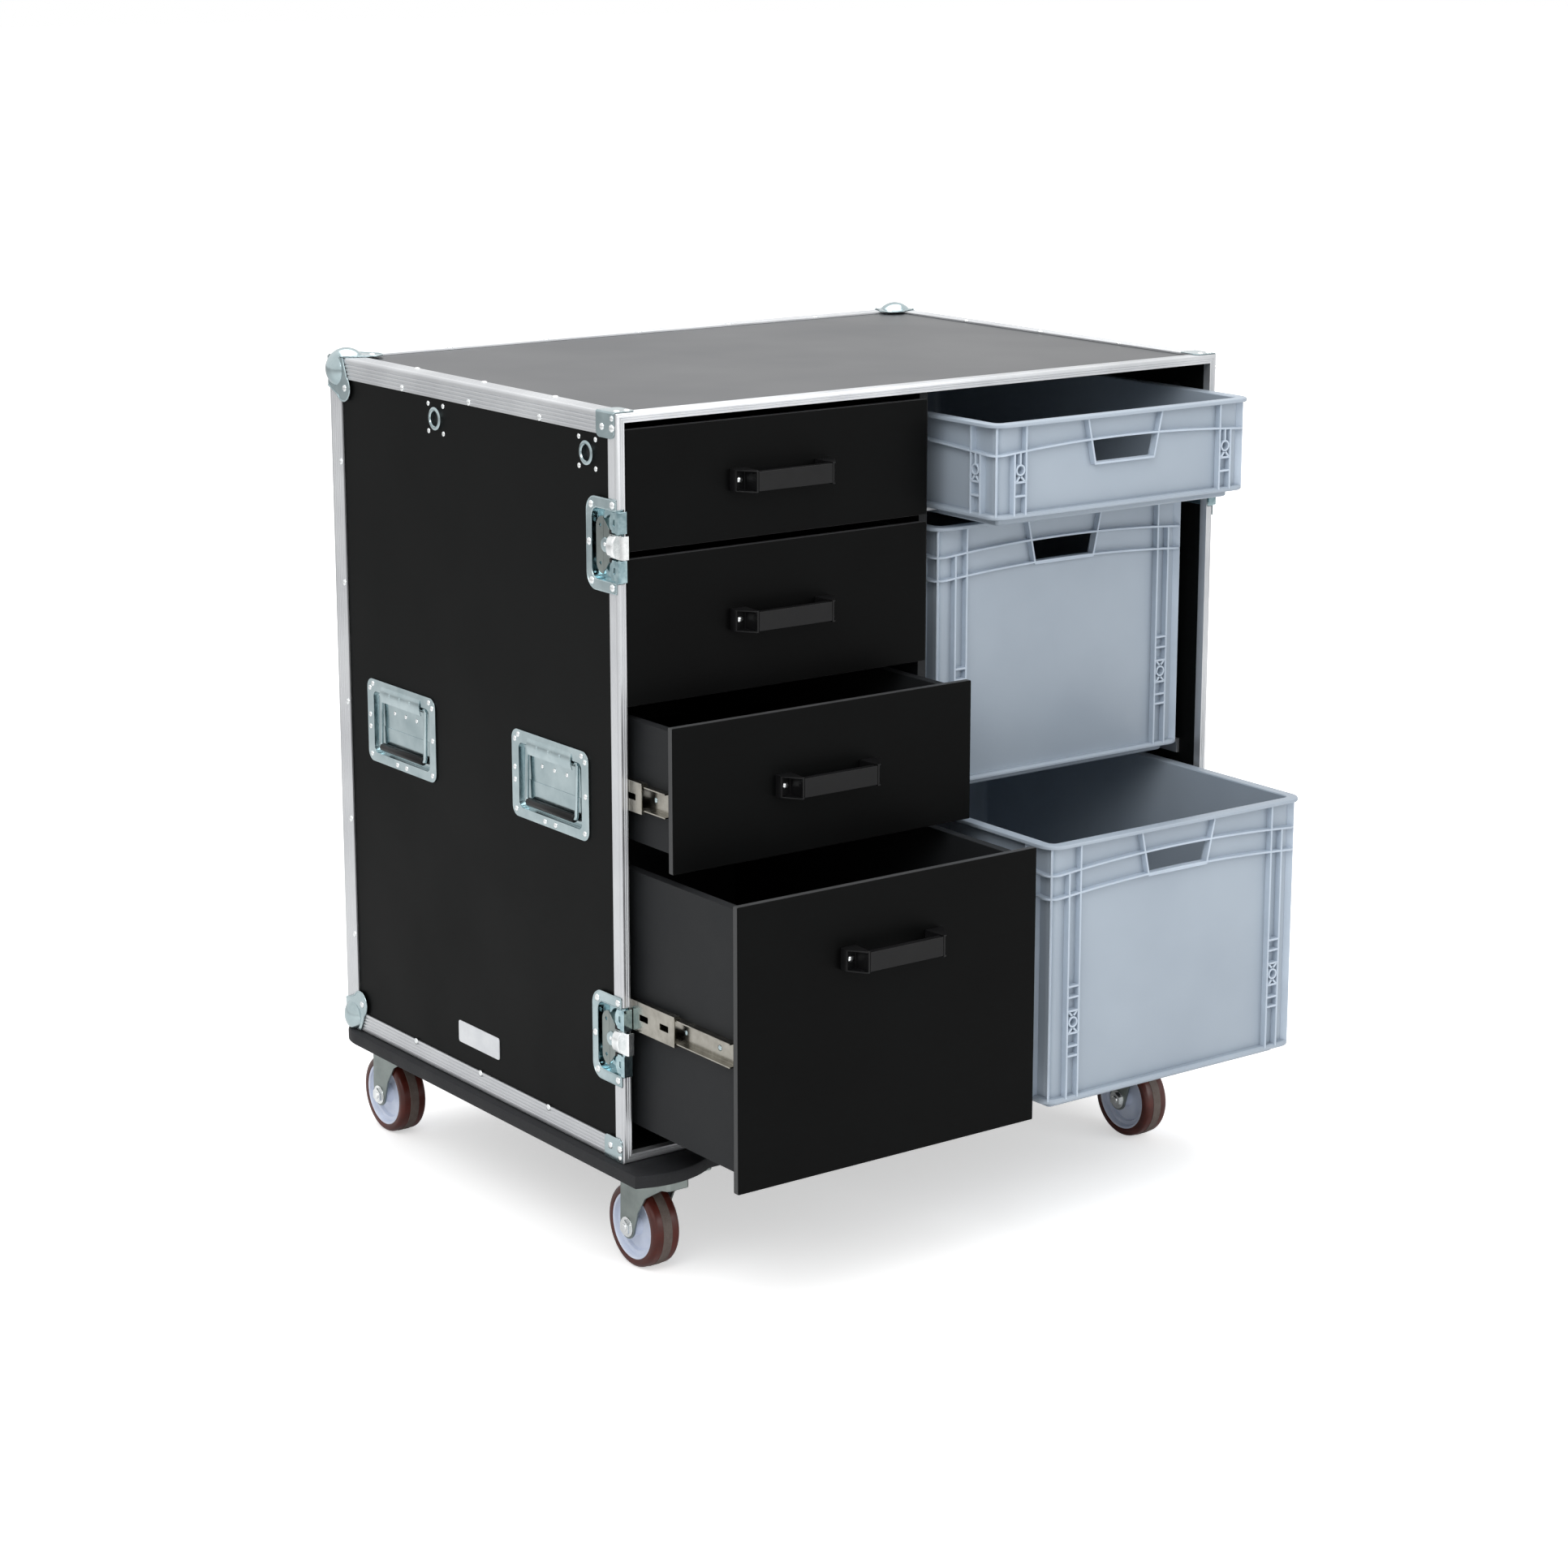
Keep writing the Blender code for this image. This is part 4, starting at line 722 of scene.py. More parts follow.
@dataclass
class EdgeFrame:
    """Aluminium profiles along every outer edge, with a pressed brace on each front corner."""

    sheet: float = 0.0018
    front_flange: float = 0.0168
    rear_flange: float = 0.030
    edge_flange: float = 0.025
    bend: float = 0.003
    lip: float = 0.0103
    inner: float = 0.0091
    leg: float = 0.011
    lip_groove: Point = (0.0014, 0.0006)
    brace_length: float = 0.038
    brace_height: float = 0.028
    brace_round: float = 0.007
    brace_fold: float = 0.0022
    brace_sheet: float = 0.0012
    brace_rivets: tuple[tuple[float, float, float], ...] = (
        (0.0259, 0.0160, 1.0), (0.0068, 0.0161, 1.1), (0.0066, 0.0055, 0.8),
    )
    brace_top_rivets: tuple[Point, ...] = ((0.0060, 0.0082), (0.0190, 0.0082))
    depth_rivets: tuple[float, ...] = (0.1545, 0.3055, 0.4565)
    upright_rivets: tuple[float, ...] = (0.1245, 0.2740, 0.4235, 0.5730, 0.7225)
    rivet_line: float = 0.0213
    lower_rivet_line: float = 0.023
    rear_rivet_line: float = 0.024

    def ring(self, profile: list[Point]) -> Stock:
        """Sweeps a closed profile of (depth, y) points round the case's four edges."""
        half, high = CASE.width / 2, CASE.height
        return Stock().loft([
            [(d - half, y, d), (half - d, y, d), (half - d, y, high - d), (d - half, y, high - d)]
            for d, y in profile
        ], closed=True)

    def corner(self, flange: float, other: list[Point]) -> list[Point]:
        """Outer face of a profile: a flange with four grooves, the bend, then the other flange."""
        r = self.bend
        return grooves((0, flange), (0, r), (1, 0), 4) + arc(r, 7, 180, 90, (r, r))[1:-1] + other

    def build_front(self, notch_half: float, latch_levels: list[float]) -> None:
        """Builds the ring round the open front.

        Args:
            notch_half: half the height of a latch's notch.
            latch_levels: heights of the latches' middles.
        """
        s = self.sheet
        front = grooves((self.bend, 0), (self.lip, 0), (0, 1), 2, *self.lip_groove)
        profile = self.corner(self.front_flange, front)
        profile += [(self.lip, self.leg), (self.inner, self.leg), (self.inner, s), (s, s)]
        profile += [(s, self.front_flange)]
        cutters = [
            Stock().box(*CASE.span(side, -0.01, self.inner), -0.01, 0.05, z - notch_half, z + notch_half)
            for side in SIDE_NAMES for z in latch_levels
        ]
        carve(self.ring(profile), cutters).place(
            "front_edge_profile", Stuff.ALUMINIUM, "case", "aluminium", ("front_frame",)
        )

    def build_rear(self) -> None:
        """Builds the ring round the back and the four edges that run forward from it."""
        r, s, back = self.bend, self.sheet, CASE.depth
        profile = grooves((0, back - self.rear_flange), (0, back - r), (1, 0), 5)
        profile += [(r - x, back - r + y) for x, y in arc(r, 7, 0, 90)[1:-1]]
        profile += grooves((r, back), (self.rear_flange, back), (0, -1), 5)
        profile += [(self.rear_flange, back - s), (s, back - s), (s, back - self.rear_flange)]
        stock = self.ring(profile)
        section = self.corner(self.edge_flange, grooves((r, 0), (self.edge_flange, 0), (0, 1), 4))
        section += [(self.edge_flange, s), (s, s), (s, self.edge_flange)]
        for side in SIDE_NAMES:
            for level, up in ((CASE.height, -1), (0.0, 1)):
                outline = [(CASE.inward(side, d), level + up * h) for d, h in section]
                stock.prism(outline, self.front_flange + GAP, back - self.rear_flange - 0.0002, "Y")
        stock.place("rear_edge_profile", Stuff.ALUMINIUM, "case", "aluminium", ("rear_frame",))

    def build_braces(self, rivets: RivetSet) -> None:
        """Builds the pressed braces on the front corners.

        Args:
            rivets: the set that their rivets join.
        """
        stock = Stock()
        for side in SIDE_NAMES:
            for top in (True, False):
                stock.merge(self.brace(side, top))
                level, up = (CASE.height, -1) if top else (0.0, 1)
                for y, drop, size in self.brace_rivets:
                    rivets.on_side(side, -GAP - self.brace_sheet, y, level + up * drop, size)
            for into, y in self.brace_top_rivets:
                rivets.add((CASE.inward(side, into), y, CASE.height + GAP + self.brace_sheet), (0, 0, 1))
        stock.place("front_braces", Stuff.ZINC, "case", "aluminium", bevel=0.0004)

    def brace(self, side: int, top: bool) -> Stock:
        """One brace: a strip with round corners up the side, folded over the edge at the top."""
        t, r, reach = self.brace_sheet, self.brace_round, self.brace_height
        outer, fold = -GAP - t, self.brace_fold
        spots = []
        for i in range(8):
            angle = math.radians(90 * i / 7)
            spots.append(((outer, reach - r * (1 - math.cos(angle))), (1, 0), r * (1 - math.sin(angle))))
        if top:
            strip = list(spots)
            for i in range(6):
                angle = math.radians(90 * i / 5)
                c, s = math.cos(angle), math.sin(angle)
                strip.append(((outer + fold - fold * c, outer + fold - fold * s), (c, s), 0.0))
            strip += [((v, u), (b, a), inset) for (u, v), (a, b), inset in reversed(spots)]
        else:
            strip = spots + [((outer, GAP), (1, 0), 0.0)]
        loops = []
        for (u, v), (a, b), inset in strip:
            near, far = self.bend + inset, self.brace_length - inset
            ends = [(u, v), (u + a * t, v + b * t)]
            (x0, z0), (x1, z1) = [(CASE.inward(side, p), CASE.height - q if top else q) for p, q in ends]
            loops.append([(x0, near, z0), (x0, far, z0), (x1, far, z1), (x1, near, z1)])
        return Stock().loft(loops)

    def build_rivets(self, rivets: RivetSet) -> None:
        """Rivets along the profiles, at the pitches seen on the left side.

        Args:
            rivets: the set they join.
        """
        high, back, half = CASE.height, CASE.depth, CASE.width / 2
        line = self.rear_rivet_line
        for side in SIDE_NAMES:
            for y in self.depth_rivets:
                rivets.on_side(side, 0, y, high - self.rivet_line)
                rivets.on_side(side, 0, y + 0.004, self.lower_rivet_line)
                rivets.add((CASE.inward(side, self.rivet_line), y, high), (0, 0, 1))
            for z in self.upright_rivets:
                rivets.on_side(side, 0, back - line, z)
                rivets.add((CASE.inward(side, line), back, z), (0, 1, 0))
        for i in range(5):
            x = (i - 2) * (half - 0.1) / 2.4
            rivets.add((x, back - line, high), (0, 0, 1))
            for z in (high - line, line):
                rivets.add((x, back, z), (0, 1, 0))


@dataclass
class BallCorner:
    """A pressed ball cap with a petal-shaped ear on each free face, its edge raised to a bead."""

    radius: float = 0.0257
    sink: float = 0.0158
    root: float = 0.036
    middle: float = 0.036
    end: float = 0.016
    bead: float = 0.0011
    sheet: float = 0.0015
    wall: float = 0.0085
    base: float = 0.0015
    rivet: Point = (0.040, 0.036)

    def build(self, rivets: RivetSet) -> None:
        """Builds the four caps.

        Args:
            rivets: the set that their rivets join.
        """
        for side, side_name in SIDE_NAMES.items():
            for top in (True, False):
                self.build_one(side, top, f"{'upper' if top else 'lower'}_{side_name}_ball_corner", rivets)

    def build_one(self, side: int, top: bool, name: str, rivets: RivetSet) -> None:
        """Builds one cap; the lower two have no ear underneath, where the board is."""
        up = 1 if top else -1
        edge_x, edge_z, back = CASE.inward(side, 0), CASE.height if top else 0.0, CASE.depth
        centre = (CASE.inward(side, self.sink), back - self.sink, edge_z - up * self.sink)
        cutters = []
        for axis in range(3):
            depth = [-GAP] * 3
            depth[axis] = self.wall
            x0, x1 = sorted((0.0, CASE.inward(side, depth[0])))
            z0, z1 = sorted((CASE.height / 2, edge_z - up * depth[2]))
            cutters.append(Stock().box(x0, x1, back / 2, back - depth[1], z0, z1))
        ears = {
            "X": ((back, edge_z), (-1, -up), edge_x, side, (side, 0, 0)),
            "Y": ((edge_x, edge_z), (-side, -up), back, 1, (0, 1, 0)),
            "Z": ((edge_x, back), (-side, -1), edge_z, up, (0, 0, 1)),
        }
        if not top:
            x0, x1 = sorted((0.0, 2 * edge_x))
            cutters.append(Stock().box(x0, x1, back / 2, back + 0.05, -0.05, self.base))
            ears.pop("Z")
        cap = carve(Stock().ball(self.radius, centre, 56), cutters)
        petal = [(0.0, 0.0), (self.root, 0.0)]
        petal += arc(self.end, 21, -55, 200, (self.middle, self.middle)) + [(0.0, self.root)]
        for axis, ((u, v), (su, sv), face, out, facing) in ears.items():
            outline = [(u + su * a, v + sv * b) for a, b in petal]
            if not top:
                outline = [(p, max(q, self.base)) for p, q in outline]
            cap.prism(outline, *sorted((face + out * GAP, face + out * self.sheet)), axis)
            level = face + out * (self.sheet - GAP)
            cap.tube([Vector(placed(axis, p, level)) for p in outline[1:]], self.bead, 10)
            spot = (u + su * self.rivet[0], v + sv * self.rivet[1])
            rivets.add(placed(axis, spot, level), facing, 1.1)
        cap.place(f"{name}_cap", Stuff.ZINC, "case", "zinc", (name,), bevel=0.0003)


@dataclass
class RingSocket:
    """Round zinc sockets in the sides, each with a turned rim and four small rivets."""

    places: tuple[Point, ...] = ((0.3827, 0.801), (0.0606, 0.801))
    radius: float = 0.0135
    bore: float = 0.0088
    rise: float = 0.0011
    depth: float = 0.0042
    seat: float = 0.002
    rivet: Point = (0.0166, 0.0161)

    def build(self, rivets: RivetSet) -> None:
        """Builds all four sockets.

        Args:
            rivets: the set that their rivets join.
        """
        out, bore, wall, deep = self.seat + self.rise, self.bore, self.bore + 0.001, -self.depth
        section = [
            (deep, bore), (out - 0.0012, bore), (out, bore + 0.0011), (out, self.radius - 0.0016),
            (out - 0.0008, self.radius), (0, self.radius), (0, wall), (deep, wall),
        ]
        # Black cup floors in the bores: painted shade
        cup = [
            (deep - 0.001, wall), (deep, wall), (deep, bore * 0.8), (deep + 0.0015, bore * 0.3),
            (deep + 0.0018, 0.0), (deep - 0.001, 0.0),
        ]
        for side, side_name in SIDE_NAMES.items():
            rings, floors = Stock(), Stock()
            for y, z in self.places:
                centre = Vector((CASE.inward(side, self.seat), y, z))
                for stock, profile in ((rings, section), (floors, cup)):
                    stock.turned([(side * u, v) for u, v in profile], 40, "X", centre)
                for dy in (-1, 1):
                    for dz in (-1, 1):
                        spot = (y + dy * self.rivet[0], z + dz * self.rivet[1])
                        rivets.on_side(side, self.seat, *spot, 0.78)
            rings.place(f"{side_name}_ring_sockets", Stuff.ZINC, "case", "zinc")
            floors.place(f"{side_name}_socket_cups", Stuff.HOLLOW, "case", "black_plastic")


@dataclass
class NamePlate:
    """The bare plate low on the left side."""

    y: Point = (0.2672, 0.3597)
    z: Point = (0.0502, 0.0772)
    sink: float = 0.0021
    round: float = 0.0035
    border: float = 0.0016

    def build(self) -> None:
        """Builds the plate as a thin pressed tray turned over, with a soft edge."""
        low, high = CASE.inward(-1, self.sink - 0.001), CASE.inward(-1, self.sink - 0.0001)
        stock = Stock().prism(rounded(*self.y, *self.z, self.round), *sorted((low, high)), "X")
        (y0, y1), (z0, z1), b = self.y, self.z, self.border
        rim = rounded(y0 + b, y1 - b, z0 + b, z1 - b, 0.0024)
        stock.prism(rim, low - 0.00025, low + 0.0002, "X")
        stock.place("name_plate", Stuff.PLATE, "case", "aluminium", bevel=0.00012)


@dataclass
class Panels:
    """Laminated boards of the case, with the slide members and rails screwed inside."""

    start: float = 0.0021
    inner: float = 0.0088
    latch_tray: tuple[float, float] = (0.0505, 0.0409)
    handle_tray: tuple[float, float, float] = (0.0675, 0.370, 0.451)
    rail_height: float = 0.018
    rail_sheet: float = 0.004
    rail_reach: float = 0.0305
    rail_bend: float = 0.003
    rail_lift: float = 0.0087
    rail_start: float = 0.040
    rail_rear: float = 0.016
    member_depth: float = 0.0086
    member_flange: float = 0.0015
    slide_setback: float = 0.017
    divider_sheet: float = 0.012

    def build_sides(
        self, latch_levels: list[float], handle_places: list[float], sockets: RingSocket
    ) -> None:
        """Builds both side boards with their cut-outs.

        Args:
            latch_levels: heights of the latches' middles.
            handle_places: y of the handles' middles.
            sockets: the ring sockets that need a hole each.
        """
        deep, high = self.latch_tray
        half, handle_low, handle_high = self.handle_tray
        holes = [rounded(-0.01, deep, z - high, z + high, [0, 0.006, 0.006, 0]) for z in latch_levels]
        holes += [rounded(y - half, y + half, handle_low, handle_high, 0.008) for y in handle_places]
        holes += [circle(sockets.bore + 0.001, 32, place) for place in sockets.places]
        for side, side_name in SIDE_NAMES.items():
            x0, x1 = CASE.span(side, self.start, self.inner)
            a, b = self.start, CASE.height - self.start
            board = Stock().box(x0, x1, a, CASE.depth - a, a, b)
            carve(board, [Stock().prism(hole, x0 - 0.01, x1 + 0.01, "X") for hole in holes]).place(
                f"{side_name}_board", Stuff.LAMINATE, "case", "laminate", (f"{side_name}_panel",),
                bevel=0.0003,
            )

    def build_divider(self, x: float) -> None:
        """Builds the board between the columns, its left face at x."""
        gap = self.inner + GAP
        board = Stock().box(x, x + self.divider_sheet, 0.020, CASE.depth - gap, gap, CASE.height - gap)
        board.place("divider_board", Stuff.SIDE_PLY, "case", "laminate", ("divider",), bevel=0.0005)

    def build_rails(self, divider_x: float, levels: list[float]) -> None:
        """Builds the angle rails under the containers.

        Args:
            divider_x: the divider's left face.
            levels: height of each container's underside.
        """
        stock = Stock()
        height, sheet, reach, bend = self.rail_height, self.rail_sheet, self.rail_reach, self.rail_bend
        outline = [(0, -height), (sheet, -height), (sheet, -sheet - bend)]
        outline += arc(bend, 5, 180, -90, (sheet + bend, -sheet - bend))[1:]
        outline += [(reach, -sheet), (reach, 0), (0, 0)]
        for level in levels:
            top = level + self.rail_lift
            for wall, sign in ((divider_x + self.divider_sheet, 1), (CASE.inward(1, self.inner), -1)):
                section = [(wall + sign * u, top + v) for u, v in outline]
                stock.prism(section, self.rail_start, CASE.depth - self.rail_rear, "Y")
        stock.place("container_rails", Stuff.ALUMINIUM, "case", "zinc", bevel=0.0004)

    def build_case_members(self, walls: list[tuple[float, int]], levels: list[float]) -> None:
        """Builds the fixed slide members.

        Args:
            walls: (x of the wall, direction away from it) of each wall.
            levels: heights of the slides' middles.
        """
        stock = Stock()
        size = (0.0, SLIDE.height, self.member_depth, self.member_flange)
        for wall, sign in walls:
            for level in levels:
                section = SLIDE.section(wall, sign, level, *size)
                stock.prism(section, self.slide_setback, self.slide_setback + SLIDE.length, "Y")
        # Darker slide zinc: painted shade inside the case
        stock.place("case_slide_members", Stuff.SLIDE_ZINC, "case", "zinc", bevel=0.0002)


# Latches and handles


@dataclass
class Latch:
    """Butterfly latch: pressed dish, folding key beside a boss, drum and hook."""

    start: float = 0.0008
    end: float = 0.0595
    height: float = 0.1045
    drop: float = 0.1455
    lift: float = 0.1427
    round: float = 0.018
    tray_depth: float = 0.0490
    tray_half: float = 0.0395
    tray_round: float = 0.0115
    floor: float = 0.0070
    sheet: float = 0.0012
    out: float = 0.0015
    bead: float = 0.0010
    boss: Point = (0.0235, 0.0085)
    boss_out: float = 0.0018
    key: Point = (0.0290, 0.0432)
    key_length: float = 0.066
    key_depth: float = 0.0014
    key_sheet: float = 0.0015
    key_holes: Point = (-0.0215, 0.0205)
    hook_half: float = 0.013
    hook_over: float = 0.009
    hook_sheet: float = 0.0015
    hook_reach: float = 0.0145
    drum_rise: float = 0.0070
    rivet_spots: tuple[Point, ...] = (
        (0.0495, 0.0420), (0.0075, 0.0455), (0.0540, 0.0), (0.0495, -0.0425), (0.0085, -0.0455),
    )

    def build(self, side: int, level: str, z: float, rivets: RivetSet) -> None:
        """Builds one latch.

        Args:
            side: -1 for left, 1 for right.
            level: "upper" or "lower".
            z: height of its middle.
            rivets: the set that its rivets join.
        """
        name = f"{SIDE_NAMES[side]}_{level}_latch"
        self.build_dish(side, z, name)
        self.build_boss(side, z, name)
        self.build_key(side, z, name)
        self.build_hook(side, z, name)
        for y, dz in self.rivet_spots:
            rivets.on_side(side, -self.out, y, z + dz, 1.1)
        rivets.on_side(side, -self.boss_out, self.boss[0] - 0.001, z + 0.001, 0.6)

    def build_dish(self, side: int, z: float, name: str) -> None:
        """The plate with its tray, beads, the wraps over the profile's edge and the clamps."""
        half, tray = self.height / 2, self.tray_half

        def outline(start: float, end: float, reach: float, radius: float, count: int) -> list[Point]:
            """A rectangle, square at the front and round at the rear."""
            return rounded(start, end, z - reach, z + reach, [0, radius, radius, 0], count)

        pocket = outline(-0.01, self.tray_depth, tray, self.tray_round, 8)
        rear, reach = self.tray_depth + self.sheet, tray + self.sheet
        plate, tray_part = [
            carve(Stock().side_prism(*blank), [Stock().side_prism(pocket, side, -0.01, self.floor)])
            for blank in (
                (outline(self.start, self.end, half, self.round, 10), side, -self.out, -GAP),
                (outline(GAP, rear, reach, self.tray_round + 0.001, 8), side, -0.0009, 0.0082),
            )
        ]
        depth = CASE.inward(side, 0.0004 - self.out)
        for bead in (
            outline(self.start, self.end - 0.0009, half - 0.0009, self.round - 0.001, 10),
            outline(self.start, self.tray_depth + 0.0007, tray + 0.0007, self.tray_round + 0.0005, 8),
        ):
            plate.tube([Vector((depth, *p)) for p in bead], self.bead, 10)
        plate.place(
            f"{name}_pressing", Stuff.ZINC, "case", "zinc", (f"{name}_dish",), bevel=0.0004, steps=3
        )
        wrap = [(-0.0015, -0.0040), (0.0100, -0.0040), (0.0100, -0.0028), (-0.0003, -0.0028),
                (-0.0003, 0.0030), (-0.0015, 0.0030)]
        for end in (-1, 1):
            low, high = sorted((z + end * 0.0148, z + end * (tray - 0.0004)))
            tray_part.prism([(CASE.inward(side, d), y) for d, y in wrap], low, high, "Z")
        tray_part.merge(self.clamps(side, z))
        tray_part.place(f"{name}_tray", Stuff.BLUE_ZINC, "case", "zinc", bevel=0.0004)

    def clamps(self, side: int, z: float) -> Stock:
        """The pressed plates above and below the hook, each with an oblong hole over a foot."""
        stock = Stock()
        for end in (-1, 1):
            near, far = z + end * 0.0150, z + end * 0.0378
            outline = [
                (-0.0030, z + end * 0.0185), (0.0020, near), (0.0110, near),
                (0.0160, z + end * 0.0215), (0.0160, z + end * 0.0300), (0.0120, far), (-0.0030, far),
            ]
            blank = Stock().side_prism(outline, side, 0.0000, 0.0014)
            hole = rounded(0.0020, 0.0085, *sorted((z + end * 0.0230, z + end * 0.0300)), 0.0008)
            stock.merge(carve(blank, [Stock().side_prism(hole, side, -0.005, 0.01)]))
            foot = rounded(0.0005, 0.0100, *sorted((z + end * 0.0215, z + end * 0.0315)), 0.001)
            stock.side_prism(foot, side, 0.0024, self.floor)
        return stock

    def build_boss(self, side: int, z: float, name: str) -> None:
        """The round boss, the fixed wings beside it and dark patches, painted shade for the square holes in
        front of it.
        """
        y, r = self.boss
        stock, s, out = Stock(), -side, self.boss_out
        dome = [(0.0075, r), (-0.0004, r), (-0.0014, r - 0.0010), (-out, r - 0.0040),
                (-0.0001 - out, 0.0), (0.0075, 0.0)]
        centre = Vector((CASE.inward(side, 0.0), y, z))
        disc = Stock().turned([(s * u, v) for u, v in dome], 40, "X", centre)
        disc.place(f"{name}_boss", Stuff.ZINC, "case", "zinc")
        near, far = self.key_levels()
        edge = self.key[0] - 0.0004
        for end, reach, back in ((1, 0.0290, self.floor), (-1, 0.0300, far)):
            wing = [
                (edge, z + end * 0.002), (edge, z + end * reach),
                (edge - 0.0040, z + end * (reach - 0.0035)),
                (y - r - 0.0005, z + end * 0.0145), (y - r + 0.0020, z + end * 0.0035),
            ]
            stock.side_prism(wing, side, near, back)
        stock.place(f"{name}_spindle", Stuff.FORK_ZINC, "case", "zinc", bevel=0.0003)
        # Dark patches in front of the boss: painted shade standing for the square holes
        holes = Stock()
        for end in (-1, 1):
            low, high = sorted((z + end * 0.0135, z + end * 0.0180))
            holes.side_prism(rounded(0.0118, 0.0158, low, high, 0.0006, 3), side, -0.0002, 0.0010)
        holes.place(f"{name}_square_hole_shade", Stuff.HOLLOW, "case", "zinc")

    def key_levels(self) -> Point:
        """Depths of the key's outer and inner face under the case's outer plane."""
        return self.key_depth - self.key_sheet / 2, self.key_depth + self.key_sheet / 2

    def build_key(self, side: int, z: float, name: str) -> None:
        """The folding key: a plate with round ends and a hole near each, notched round the boss."""
        half, (y0, y1) = self.key_length / 2, self.key
        outline = rounded(y0, y1, z - half, z + half * 0.94, [0.002, 0.0120, 0.0125, 0.0015], 10)
        notch = circle(self.boss[1] + 0.0004, 40, (self.boss[0], z))
        holes = [circle(0.0021, 16, (y0 + 0.0062, z + dz)) for dz in self.key_holes]
        cutters = [Stock().side_prism(shape, side, -0.01, 0.02) for shape in [notch] + holes]
        carve(Stock().side_prism(outline, side, *self.key_levels()), cutters).place(
            f"{name}_key_plate", Stuff.FORK_ZINC, f"{name}_key", "zinc", (f"{name}_key",), bevel=0.0004
        )

    def build_hook(self, side: int, z: float, name: str) -> None:
        """The sliding hook: a drum that swells out of a plate bent over the profile's edge."""
        half, over, sheet, reach = self.hook_half, self.hook_over, self.hook_sheet, self.hook_reach
        top, base, bend = GAP, 0.0088, 0.0022
        outline = [(reach, top), (bend - over, top)] + arc(bend, 5, 270, -90, (bend - over, top + bend))[1:]
        outline += [(-over, base), (sheet - over, base), (sheet - over, top + sheet)]
        outline += [(reach, top + sheet)]
        stock = Stock().prism([(CASE.inward(side, d), y) for y, d in outline], z - half, z + half, "Z")
        loops = []
        for i in range(21):
            angle = math.pi * i / 20
            rise, v = self.drum_rise * math.sin(angle), -math.cos(angle)
            crown, edge = 0.0002 - rise, 0.0006 - rise * 0.85
            section = ((0.0060, 0.0015), (0.0060, reach), (edge, reach), (crown, reach - 0.0014),
                       (crown, 0.0030), (edge, 0.0015))
            loops.append([(CASE.inward(side, d), y, z + v * half * 0.98) for d, y in section])
        stock.loft(loops)
        stock.place(
            f"{name}_hook_plate", Stuff.NICKEL, f"{name}_hook", "zinc", (f"{name}_hook",), bevel=0.0003
        )


